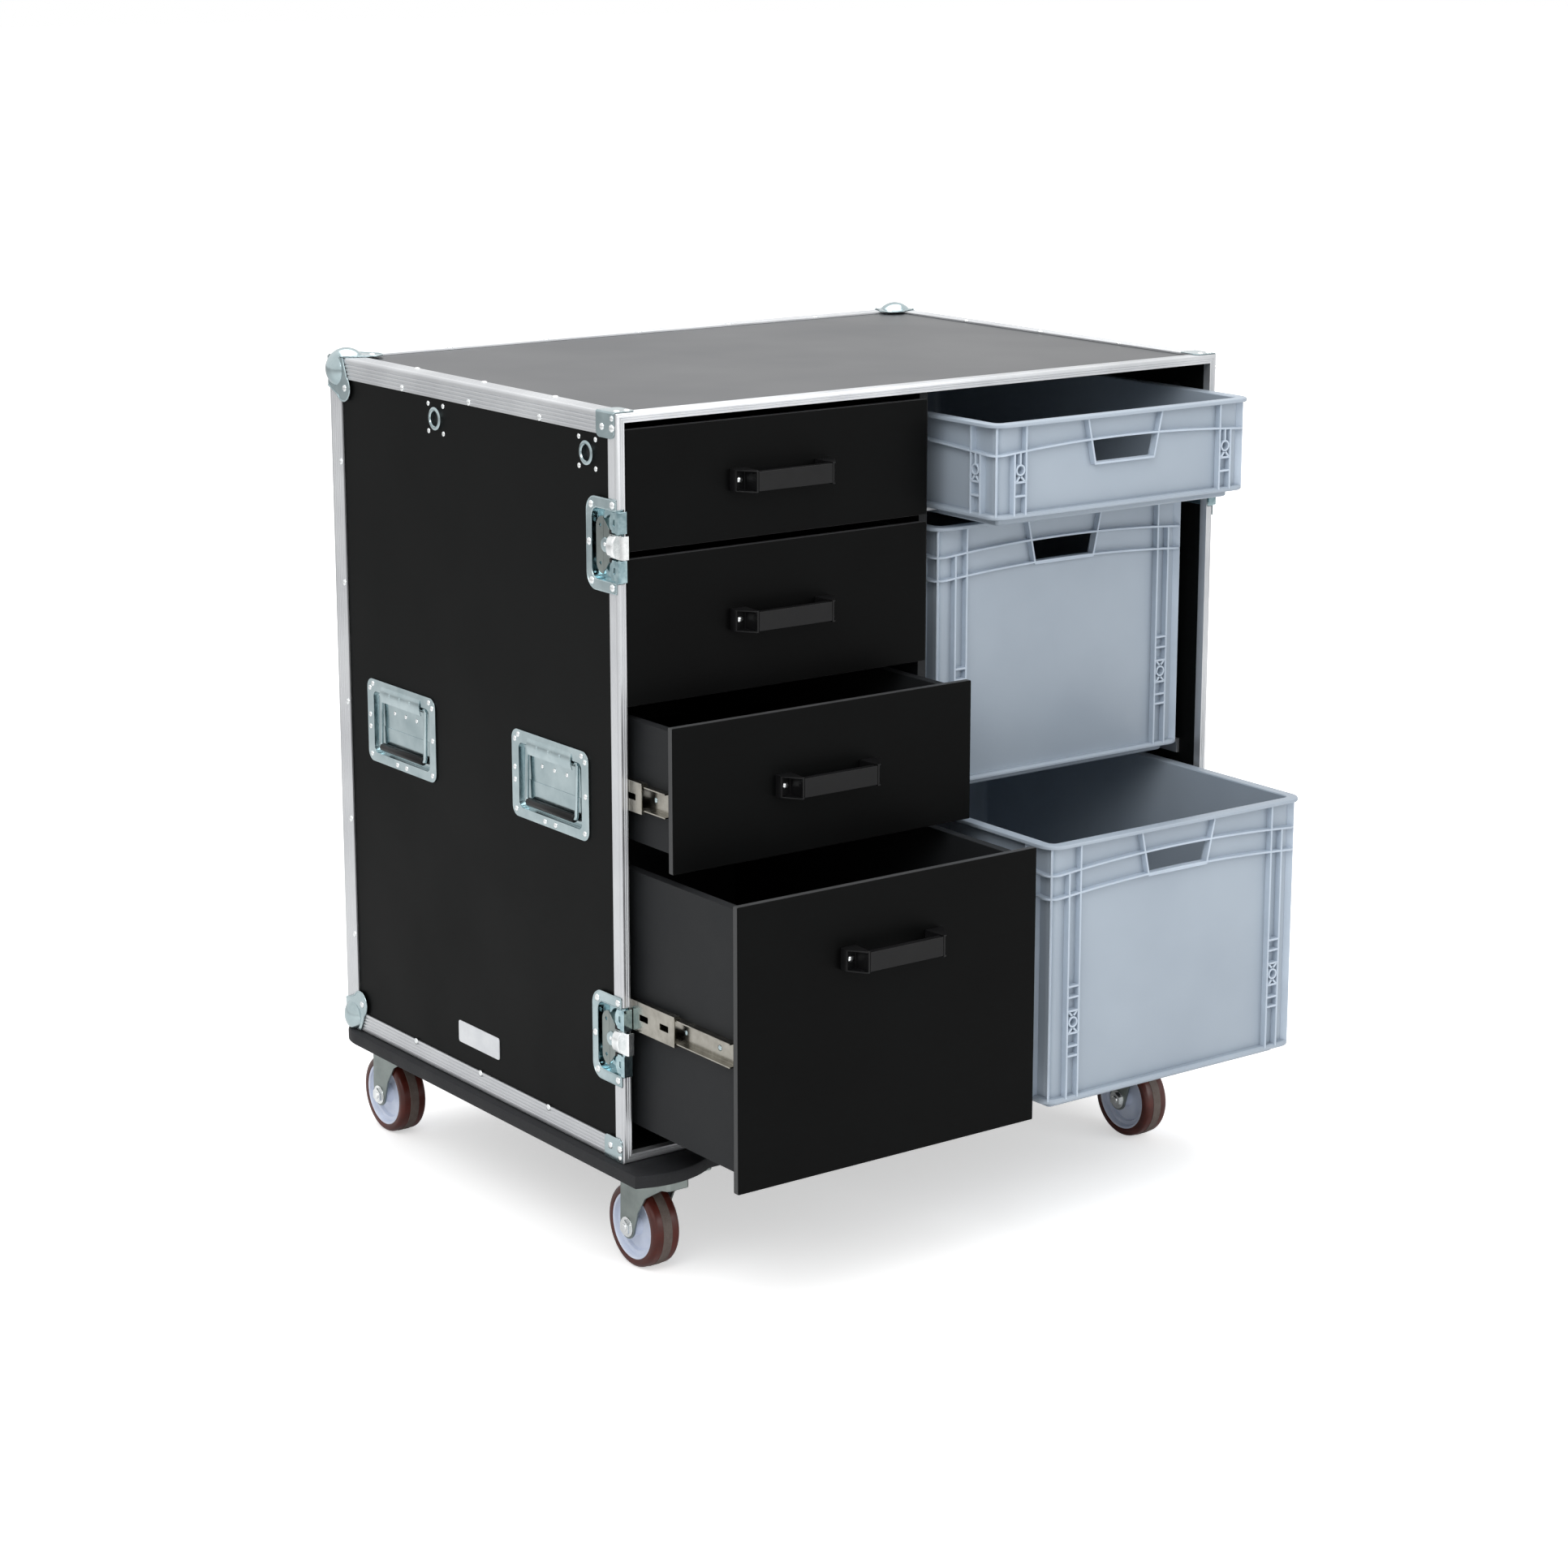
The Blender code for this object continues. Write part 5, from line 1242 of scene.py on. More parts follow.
@dataclass
class CarryHandle:
    """Recessed handle: pressed dish, hinge cover and a zinc bail with a moulded grip."""

    width: float = 0.161
    height: float = 0.103
    z: float = 0.412
    margin: float = 0.0145
    floor: float = 0.0070
    pivot_drop: float = 0.018
    pivot_depth: float = 0.0040
    grip_radius: float = 0.0047
    grip_length: float = 0.098
    grip_lift: float = 0.021
    rod: float = 0.0025
    cover_width: float = 0.092
    cover_bow: float = 0.0022
    dimple: float = 0.0036
    sheet: float = 0.0016
    sink: float = 0.0002

    def build(self, side: int, place: str, y: float, rivets: RivetSet) -> None:
        """Builds one handle.

        Args:
            side: -1 for left, 1 for right.
            place: "front" or "rear".
            y: its middle.
            rivets: the set that its rivets join.
        """
        name = f"{SIDE_NAMES[side]}_{place}_handle"
        half = self.height / 2
        pivot_z = self.z + half - self.pivot_drop
        low, high = self.z - half + self.margin * 0.8, pivot_z + self.rod + 0.0006
        tray = self.width / 2 - self.margin
        self.build_dish(side, y, name, low, high, tray)
        self.build_cover(side, y, name, pivot_z)
        self.build_bail(side, y, name, pivot_z)
        w = self.width / 2
        pairs = ((w - 0.007, half - 0.012), (w - 0.014, half - 0.006),
                 (w - 0.0085, 0.0085 - half), (0.011, 0.0055 - half))
        spots = [(end * u, v) for u, v in pairs for end in (-1, 1)]
        spots += [(0.0065 - w, 0.0), (w - 0.0065, 0.006), (w - 0.0065, -0.009)]
        for dy, dz in spots:
            rivets.on_side(side, self.sink, y + dy, self.z + dz, 0.85)
        for dy in (-0.026, 0.0, 0.026):
            rivets.on_side(side, self.floor, y + dy, high - 0.022, 0.7)

    def build_dish(self, side: int, y: float, name: str, low: float, high: float, tray: float) -> None:
        """The plate and its recessed tray with a step in the floor."""
        half, w, t = self.height / 2, self.width / 2, 0.0012
        outline = rounded(y - w, y + w, self.z - half, self.z + half, 0.012, 10)
        rim = rounded(y - tray - t, y + tray + t, low - t, high + t, 0.008, 8)
        pocket = rounded(y - tray, y + tray, low, high, 0.007, 8)
        dish, walls = [
            carve(Stock().side_prism(*blank), [Stock().side_prism(pocket, side, -0.01, self.floor)])
            for blank in ((outline, side, self.sink, self.sink + self.sheet), (rim, side, 0.0010, 0.0082))
        ]
        dish.merge(walls)
        step = rounded(y - tray + 0.006, y + tray - 0.006, low + 0.006, low + 0.034, 0.006, 8)
        dish.side_prism(step, side, self.floor - 0.0005, self.floor)
        dish.place(
            f"{name}_pressing", Stuff.ZINC, "case", "zinc", (f"{name}_dish",), bevel=0.0005, steps=3
        )

    def build_cover(self, side: int, y: float, name: str, pivot_z: float) -> None:
        """The hinge cover: a bowed strip over the pivot rod, with three pressed dimples."""
        w = self.cover_width / 2
        low, high = pivot_z - 0.008, self.z + self.height / 2 - 0.002
        loops = []
        for i in range(13):
            t = i / 12
            z = low + (high - low) * t
            rise = self.cover_bow * math.sin(math.pi * min(1.0, t * 1.15))
            near, far = CASE.inward(side, 0.0006 - rise), CASE.inward(side, 0.0016 - rise)
            loops.append([(near, y - w, z), (near, y + w, z), (far, y + w, z), (far, y - w, z)])
        cutters = [
            Stock().ball(self.dimple, (CASE.inward(side, -0.0042), y + dy, (low + high) / 2), 24)
            for dy in (-0.024, 0.0, 0.024)
        ]
        carve(Stock().loft(loops), cutters).place(
            f"{name}_cover", Stuff.ZINC, "case", "zinc", bevel=0.0003
        )

    def build_bail(self, side: int, y: float, name: str, pivot_z: float) -> None:
        """The bent rod and the moulded grip on it."""
        grip_z = self.z - self.height / 2 + self.grip_lift
        depth = self.floor - GAP - self.grip_radius
        arm = self.grip_length / 2 + self.rod + 0.001
        near, far = CASE.inward(side, depth), CASE.inward(side, self.pivot_depth)
        route = []
        for end in (-1, 1):
            corner = Vector((near, y + end * arm, grip_z))
            run = Vector((far, y + end * arm, pivot_z))
            bends = [corner + Vector((0, -end * 0.004, 0)), corner + Vector((0, -end * 0.0012, 0.0012)),
                     corner + (run - corner).normalized() * 0.004, run]
            route += bends[::-1] if end < 0 else bends
        rod = Stock().tube(route, self.rod, 16)
        ends = [Vector((far, y + end * (arm + self.rod), pivot_z)) for end in (-1, 1)]
        rod.rod(self.rod, *ends)
        rod.place(f"{name}_rod", Stuff.ZINC, f"{name}_bail", "zinc", (f"{name}_bail",), bevel=0.0003)
        half, r = self.grip_length / 2, self.grip_radius
        section = mirrored([(-half, 0.0), (-half, r * 0.82), (0.001 - half, r)])
        grip = Stock().turned(section, 32, "Y", Vector((near, y, grip_z)))
        grip.place(f"{name}_grip", Stuff.POLYAMIDE, f"{name}_bail", "black_plastic", smooth=50)


# Drawers


@dataclass
class Pull:
    """Bow pull of a drawer: end blocks, slanted shoulders with sunk screws and a straight bar."""

    half: float = 0.0690
    foot: float = 0.0480
    block: float = 0.0095
    out: float = 0.030
    bar_half: float = 0.0545
    bar_back: float = 0.022
    strap: float = 0.025
    bar_height: float = 0.022
    floor: float = 0.0070
    wall: float = 0.0016
    screw: float = 0.0600

    def end_block(self, x: float, face: float, end: int) -> list[Point]:
        """One end's outline seen from above: block, steep slanted face and the bar's root."""
        bar, out = self.bar_half, self.out
        points = [
            (self.half, 0.0), (self.half, -self.block), (bar + 0.0008, 0.0008 - out), (bar - 0.0006, -out),
            (bar - 0.0035, -out), (bar - 0.0045, -self.bar_back), (self.foot, 0.0),
        ]
        return [(x + end * u, face + v) for u, v in points]

    def build(self, number: int, x: float, face: float, z: float) -> None:
        """Builds one pull with its two screws.

        Args:
            number: the drawer's number from the top.
            x, z: the pull's middle.
            face: y of the drawer's face, less the gap.
        """
        name, body = f"drawer_{number}_pull", f"drawer_{number}"
        half = self.strap / 2
        blank, bar = Stock(), self.bar_half - 0.0040
        cutters = []
        screws = RivetSet(f"{name}_screws", body, Stuff.NICKEL, 0.0043, 0.35)
        for end in (-1, 1):
            outline = self.end_block(x, face, end)
            blank.prism(outline, z - half, z + half, "Z")
            x0, x1 = sorted((x + end * (self.bar_half - 0.0012), x + end * (self.half - 0.0014)))
            y0, y1, reach = face - self.out - 0.01, face - self.floor, half - self.wall
            cutters.append(Stock().box(x0, x1, y0, y1, z - reach, z + reach))
            screws.add((x + end * self.screw, face - self.floor, z), (0, -1, 0))
        low, high = z - self.bar_height / 2, z + self.bar_height / 2
        blank.box(x - bar, x + bar, face - self.out, face - self.bar_back, low, high)
        carve(blank, cutters).place(
            f"{name}_bow", Stuff.POLYAMIDE, body, "black_plastic", (name,), bevel=0.0009, steps=3
        )
        screws.place()


@dataclass
class Drawer:
    """A drawer: film-faced front, plywood box and rolled slide members with their stops."""

    front_sheet: float = 0.0095
    side_sheet: float = 0.012
    floor: float = 0.006
    film: float = 0.0012
    film_inset: float = 0.00025
    round: float = 0.0012
    drop: float = 0.008
    lift: float = 0.018
    slide_space: float = 0.0139
    slide_setback: float = 0.016
    middle_gap: float = 0.0019
    flange: float = 0.0032
    edge: float = 0.0012
    screws: tuple[float, ...] = (0.030, 0.095, 0.180, 0.300, 0.420, 0.520)
    slots: tuple[float, ...] = (0.020, 0.060, 0.160, 0.275, 0.390, 0.490, 0.532)
    slot_half: Point = (0.0085, 0.0036)

    def slide_level(self, number: int) -> float:
        """Middle height of a drawer's slides."""
        low, high = CASE.box(f"drawer_{number}_left_middle_slide")
        return (low.z + high.z) / 2

    def build(self, number: int, pull: Pull) -> None:
        """Builds one drawer.

        Args:
            number: its number from the top.
            pull: the pull that goes on it.
        """
        name = f"drawer_{number}"
        low, high = CASE.box(name)
        bow_low, bow_high = CASE.box(f"{name}_pull")
        face, back = low.y, low.y + self.front_sheet
        t, r = self.film_inset, self.round
        outline = rounded(low.x + t, high.x - t, low.z + t, high.z - t, r, 4)
        Stock().prism(outline, face, back, "Y").place(
            f"{name}_front", Stuff.FRONT_PLY, name, "plywood", (name,), bevel=0.0007, steps=3
        )
        outline = rounded(low.x, high.x, low.z, high.z, r, 4)
        core = Stock().prism(outline, face + self.film, back - self.film, "Y")
        core.place(f"{name}_front_edge", Stuff.CUT_PLY, name, "plywood")
        inset = self.slide_space - self.middle_gap
        x0 = CASE.box(f"{name}_left_middle_slide")[0].x + inset
        x1 = CASE.box(f"{name}_right_middle_slide")[1].x - inset
        y0, y1, z0, z1 = back, high.y, low.z + self.lift, high.z - self.drop
        t = self.side_sheet
        box = Stock().box(x0, x1, y0 + 0.0002, y1, z0, z1)
        space = Stock().box(x0 + t, x1 - t, y0 + t, y1 - t, z0 + self.floor, z1 + 0.05)
        carve(box, [space]).place(f"{name}_box", Stuff.SIDE_PLY, name, "plywood", bevel=0.0006)
        self.build_members(number, x0, x1, face)
        pull.build(number, (bow_low.x + bow_high.x) / 2, bow_high.y, (bow_low.z + bow_high.z) / 2)

    def build_members(self, number: int, x0: float, x1: float, face: float) -> None:
        """The slide members on the drawer's sides and the middle members beside them."""
        name, z = f"drawer_{number}", self.slide_level(number)
        inner, dark = Stock(), Stock()
        height = SLIDE.height - 0.010
        begin = face + self.slide_setback
        end, reach = begin + SLIDE.length, height / 2 - 0.0018
        screws = RivetSet(f"{name}_slide_screws", name, Stuff.ZINC, 0.0036, 0.35)
        for wall, sign in ((x0, -1), (x1, 1)):
            section = SLIDE.section(wall, sign, z, 0.0002, height, 0.0100, 0.0016)
            inner.prism(section, begin, end, "Y")
            for y in self.screws:
                screws.add((wall + sign * 0.0014, begin + y, z), (sign, 0, 0))
            a, b = sorted((wall + sign * 0.0016, wall + sign * 0.0092))
            dark.box(a, b, end - 0.022, end - 0.002, z - reach, z + reach)
        inner.place(f"{name}_slide_members", Stuff.SLIDE_ZINC, name, "zinc", bevel=0.0003)
        dark.place(f"{name}_slide_stops", Stuff.HOLLOW, name, "zinc", bevel=0.0008)
        screws.place()
        e, f, (slot_y, slot_z) = self.edge, self.flange, self.slot_half
        for side, side_name in SIDE_NAMES.items():
            node_name = f"{name}_{side_name}_middle_slide"
            low, high = CASE.box(node_name)
            wall, sign = (low.x, 1) if side < 0 else (high.x, -1)
            h, deep = (high.z - low.z) / 2, high.x - low.x
            points = mirrored(
                [(0.0, -h), (deep - e, -h), (deep, e - h), (deep, f - h), (SLIDE.sheet, f - h)], 1, -1
            )
            blank = Stock().prism([(wall + sign * u, v + z) for u, v in points], low.y, high.y, "Y")
            cutters = []
            for y in self.slots:
                spot = low.y + y
                outline = rounded(spot - slot_y, spot + slot_y, z - slot_z, z + slot_z, 0.0009, 3)
                cutters.append(Stock().prism(outline, low.x - 0.01, high.x + 0.01, "X"))
            carve(blank, cutters).place(
                f"{node_name}_member", Stuff.SLIDE_ZINC, node_name, "zinc", (node_name,), bevel=0.0003
            )


# Containers


@dataclass
class Container:
    """A stacking container: thin walls, foot and rolled rim, arched bands, fins and ladders of ribs."""

    name: str
    tall: bool
    rim: float = 0.0045
    rim_corner: float = 0.022
    foot: float = 0.009
    foot_inset: float = 0.021
    ledge: float = 0.006
    rib_inset: float = 0.004
    wall_inset: float = 0.012
    wall: float = 0.0025
    root: float = 0.0008
    rib: float = 0.0026
    arch_crown: float = 0.027
    arch_rise: float = 0.0095
    band_step: float = 0.0275
    fins: Point = (0.033, 0.050)
    ring: Point = (0.0069, 0.0046)
    hole_top: float = 0.100
    hole_low: float = 0.088
    hole_height: float = 0.026

    def __post_init__(self) -> None:
        """Takes the container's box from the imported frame."""
        self.low, self.high = CASE.box(self.name)

    def drop(self, x: float, y: float) -> float:
        """How far the first band lies under the rim's top at a point of the outline."""
        mid = (self.low + self.high) / 2
        u = 1 - abs(x - mid.x) / (self.high.x - mid.x)
        v = 1 - abs(y - mid.y) / (self.high.y - mid.y)
        return self.arch_crown + self.arch_rise * (1 - min(1.0, max(u, v))) ** 2

    def lap(self, inset: float, side_steps: int = 24, corner_steps: int = 9) -> list[Point]:
        """Points round the container at an inset from the rim's outline."""
        r = max(self.rim_corner - inset, self.rim_corner * 0.2)
        x0, x1, y0, y1 = self.low.x, self.high.x, self.low.y, self.high.y
        corners = rounded(x0 + inset, x1 - inset, y0 + inset, y1 - inset, r, corner_steps)
        points: list[Point] = []
        for i in range(4):
            arc_points = corners[i * corner_steps:(i + 1) * corner_steps]
            points += arc_points
            a, b = Vector(arc_points[-1]), Vector(corners[(i + 1) * corner_steps % len(corners)])
            points += [tuple(a.lerp(b, (k + 1) / side_steps)) for k in range(side_steps - 1)]
        return points

    def shell(self) -> Stock:
        """The moulded shell with its foot, ledge, walls and rolled rim."""
        base, top, t, r = self.low.z, self.high.z, self.wall, 0.0012
        foot, rib, wall = self.foot_inset, self.rib_inset, self.wall_inset
        floor, under = base + self.foot, top - self.rim
        ledge = floor + self.ledge
        profile = [
            (foot + 0.0015, base), (foot, base + 0.0015), (foot, floor - 0.002), (foot - 0.002, floor),
            (rib + r, floor), (rib, floor + r), (rib, ledge - 2 * r), (rib + 2 * r, ledge),
            (wall + 0.0006, ledge), (wall, ledge + 0.0015), (wall, under - 0.001), (wall - 0.001, under),
            (0.0005, under), (0.0, under + 0.0005), (0.0, top - r), (r * 0.3, top - r * 0.3), (r, top),
            (wall + t - r, top), (wall + t, top - r), (wall + t, floor + t), (foot + t, floor + t - 0.002),
            (foot + t, base + t),
        ]
        return Stock().loft([[(x, y, z) for x, y in self.lap(inset, 2)] for inset, z in profile])

    def band(self, below: float) -> Stock:
        """An arched band round all four sides, a given way below the first band."""
        top, root = self.high.z - below, self.wall_inset + self.root
        section = ((root, 0.0), (self.rib_inset, 0.0), (self.rib_inset, self.rib), (root, self.rib))
        return Stock().loft([
            [(x, y, top - self.drop(x, y) - fall) for x, y in self.lap(inset)] for inset, fall in section
        ], closed=True)

    def faces(self) -> list[tuple[Vector, Vector, Vector, float]]:
        """The four sides as (corner at the rim, direction along, direction inward, length)."""
        low, high = self.low, self.high
        x, y = Vector((1, 0, 0)), Vector((0, 1, 0))
        wide, long = high.x - low.x, high.y - low.y
        return [
            (Vector((low.x, low.y, 0)), x, y, wide), (Vector((high.x, high.y, 0)), -x, -y, wide),
            (Vector((low.x, high.y, 0)), -y, x, long), (Vector((high.x, low.y, 0)), y, -x, long),
        ]

    def plate(self, stock: Stock, face: tuple, outline: list[Point]) -> None:
        """Adds an outline of (along, height) that stands from the wall out to the ribs' edge."""
        corner, along, inward, _ = face
        loops = []
        for depth in (self.rib_inset + 0.0001, self.wall_inset + self.root):
            loops.append([corner + along * a + inward * depth + Vector((0, 0, z)) for a, z in outline])
        stock.loft(loops)

    def bar(self, stock: Stock, face: tuple, a: Point, b: Point) -> None:
        """Adds a straight rib between two points of (along, height) on a side."""
        start, end = Vector(a), Vector(b)
        across = (end - start).normalized().orthogonal() * self.rib / 2
        corners = (start - across, end - across, end + across, start + across)
        self.plate(stock, face, [tuple(p) for p in corners])

    def ladder(self, stock: Stock, face: tuple, centre: float) -> None:
        """Adds the rungs, ring and struts between two fins of a side."""
        top, base = self.high.z, self.low.z
        half = (self.fins[1] - self.fins[0]) / 2
        if self.tall:
            level = base + 0.105
            rungs = [level + d for d in (0.043, 0.030, 0.0135, -0.0135, -0.029, -0.041)]
            struts = [(level + 0.0075, level + 0.0135), (level - 0.0075, level - 0.0135)]
        else:
            level = top - 0.055
            rungs = [top - 0.069, top - 0.085]
            struts = [(level - 0.0075, top - 0.069)]
            self.bar(stock, face, (centre, level + 0.006), (centre, top - 0.034))
        for z in rungs:
            self.bar(stock, face, (centre - half, z), (centre + half, z))
        for near, far in struts:
            for end in (-1, 1):
                self.bar(stock, face, (centre + end * 0.0012, near), (centre + end * half * 0.8, far))
        corner, along, inward, _ = face
        root, (outer, inner) = self.wall_inset + self.root, self.ring
        loops = []
        for radius, depth in (
            (outer, root), (outer, self.rib_inset), (inner, self.rib_inset), (inner, root),
        ):
            loops.append([
                corner + along * (centre + a) + inward * depth + Vector((0, 0, level + b))
                for a, b in circle(radius, 28)
            ])
        stock.loft(loops, closed=True)

    def ribs(self) -> Stock:
        """All fins, ladders and hand-hole frames."""
        stock = Stock()
        top, low = self.high.z - self.rim / 2, self.low.z + self.foot + self.ledge / 2
        for i, face in enumerate(self.faces()):
            corner, along, _, length = face
            for mirror in (False, True):
                for j, place in enumerate(self.fins):
                    a = length - place if mirror else place
                    spot = corner + along * a
                    end = top if j else self.high.z - self.drop(spot.x, spot.y) - 0.001
                    self.bar(stock, face, (a, low), (a, end))
                centre = sum(self.fins) / 2
                self.ladder(stock, face, length - centre if mirror else centre)
            if i < 2:
                self.hole_frame(stock, face, length / 2)
        for sx, cx in ((-1, self.low.x + self.rim_corner), (1, self.high.x - self.rim_corner)):
            for sy, cy in ((-1, self.low.y + self.rim_corner), (1, self.high.y - self.rim_corner)):
                out = Vector((sx, sy)).normalized()
                across = Vector((-out.y, out.x)) * self.rib / 2
                near = Vector((cx, cy)) + out * (self.rim_corner - self.wall_inset - 0.001)
                far = Vector((cx, cy)) + out * (self.rim_corner - self.rib_inset)
                outline = [tuple(p) for p in (near - across, far - across, far + across, near + across)]
                stock.prism(outline, low, top, "Z")
        return stock

    def hole_shape(self, middle: float, grow: float = 0.0) -> list[Point]:
        """The hand-hole's trapezoid of (along, height) round a side's middle."""
        share = self.hole_top / (self.high.x - self.low.x)
        top = self.high.z - self.arch_crown - self.arch_rise * share ** 2 - self.rib - GAP
        wide, narrow = self.hole_top / 2 + grow, self.hole_low / 2 + grow
        low = top - self.hole_height - grow
        return [(middle - wide, top), (middle - narrow, low), (middle + narrow, low), (middle + wide, top)]

    def hole_frame(self, stock: Stock, face: tuple, middle: float) -> None:
        """Adds the slanted ribs and the lower bar round a hand-hole."""
        shape = self.hole_shape(middle, 0.0014)
        slope = (shape[0][0] - shape[1][0]) / (shape[0][1] - shape[1][1])
        rim = self.high.z - self.rim / 2
        lift = rim - shape[0][1]
        for sign, upper, lower in ((1, shape[0], shape[1]), (-1, shape[3], shape[2])):
            self.bar(stock, face, lower, (upper[0] + sign * slope * lift, rim))
        self.bar(stock, face, (shape[1][0] - 0.001, shape[1][1]), (shape[2][0] + 0.001, shape[2][1]))

    def build(self) -> None:
        """Builds the container from its shell, bands and ribs."""
        middle = (self.low.x + self.high.x) / 2
        shape = [(middle + a, z) for a, z in self.hole_shape(0.0)]
        cutters = [
            Stock().prism(shape, y - 0.006, y + 0.006, "Y")
            for y in (self.low.y + self.wall_inset, self.high.y - self.wall_inset)
        ]
        name, slot = self.name, "grey_plastic"
        carve(self.shell(), cutters).place(
            f"{name}_shell", Stuff.POLYPROPYLENE, name, slot, (name,), bevel=0.0003, smooth=30
        )
        bands = self.band(0.0)
        if self.tall:
            bands.merge(self.band(self.band_step))
        # Ribs and bands take the lighter polypropylene: painted highlight
        for part, stock in (("bands", bands), ("ribs", self.ribs())):
            stock.place(f"{name}_{part}", Stuff.RIB, name, slot, bevel=0.0006)


# Board and castors


@dataclass
class Board:
    """Castor board under the case, with rounded lobes over the front castors."""

    thickness: float = 0.015
    bevel: float = 0.0035
    side: float = 0.0115
    lobe: tuple[float, float, float] = (0.037, 0.050, 0.100)
    corner_y: float = -0.0385
    facet: float = 0.013
    front: float = 0.032
    rear: float = 0.037
    rear_round: float = 0.060
    plate: tuple[float, float, float] = (0.039, 0.0475, 0.003)
    bolts: Point = (0.031, 0.039)

    def build(self, castors: list[Point]) -> None:
        """Builds the board with a softened upper edge, and the castors' plates and races.

        Args:
            castors: (x, y) of each swivel axis.
        """
        outline, under = self.outline(), -GAP - self.thickness
        levels = [(0.001, under), (0.0, under + 0.001), (0.0, -GAP - self.bevel)]
        levels += [(self.bevel * 0.4, -GAP - 0.0006), (self.bevel, -GAP)]
        Stock().loft([[(x, y, z) for x, y in self.shrunk(outline, inset)] for inset, z in levels]).place(
            "castor_board_plywood", Stuff.BOARD_PLY, "case", "plywood", ("castor_board",), smooth=40
        )
        fittings = Stock()
        bolts = RivetSet("castor_bolts", "case", Stuff.FORK_ZINC, 0.0058, 0.5)
        wide, long, sheet = self.plate
        race = [(-0.0097, 0.0), (-0.0097, 0.0235), (-0.0085, 0.026), (-0.0060, 0.027),
                (-0.0030, 0.0285), (-0.0028, 0.0)]
        race = [(under + u, v) for u, v in race]
        for x, y in castors:
            plate = rounded(x - wide, x + wide, y - long, y + long, 0.007, 6)
            fittings.prism(plate, under - sheet, under - 0.0002, "Z")
            fittings.turned(race, 40, "Z", Vector((x, y, 0)))
            for dx in (-1, 1):
                for dy in (-1, 1):
                    spot = (x + dx * self.bolts[0], y + dy * self.bolts[1], under - sheet)
                    bolts.add(spot, (0, 0, -1))
        fittings.place("castor_plates_and_races", Stuff.FORK_ZINC, "case", "zinc", bevel=0.0005)
        bolts.place()

    @staticmethod
    def shrunk(outline: list[Point], amount: float) -> list[Point]:
        """The outline moved inward by an amount."""
        result = []
        for i, p in enumerate(outline):
            before, after = Vector(outline[i - 1]), Vector(outline[(i + 1) % len(outline)])
            here = Vector(p)
            a, b = (here - before).normalized(), (after - here).normalized()
            normal = Vector((-(a + b).y, (a + b).x)).normalized()
            cosine = max(0.5, normal.dot(Vector((-a.y, a.x))))
            result.append(tuple(here + normal * amount / cosine))
        return result

    def outline(self) -> list[Point]:
        """The board's outline, anticlockwise, from the case's width."""
        half, (inset, lobe_y, lobe_r) = CASE.width / 2, self.lobe
        edge, lobe_x = half + self.side, half - inset
        start = math.atan2(self.corner_y - lobe_y - 0.006, edge - self.facet - lobe_x)
        end = -math.pi / 2 - math.acos((lobe_y + self.front) / lobe_r)
        lobe = arc(lobe_r, 21, math.degrees(start), math.degrees(end - start), (lobe_x, lobe_y))
        r = self.rear_round
        rear = arc(r, 13, 90, -90, (edge - r, CASE.depth - self.rear))
        return mirrored(rear + [(edge, self.corner_y)] + lobe)[::-1]


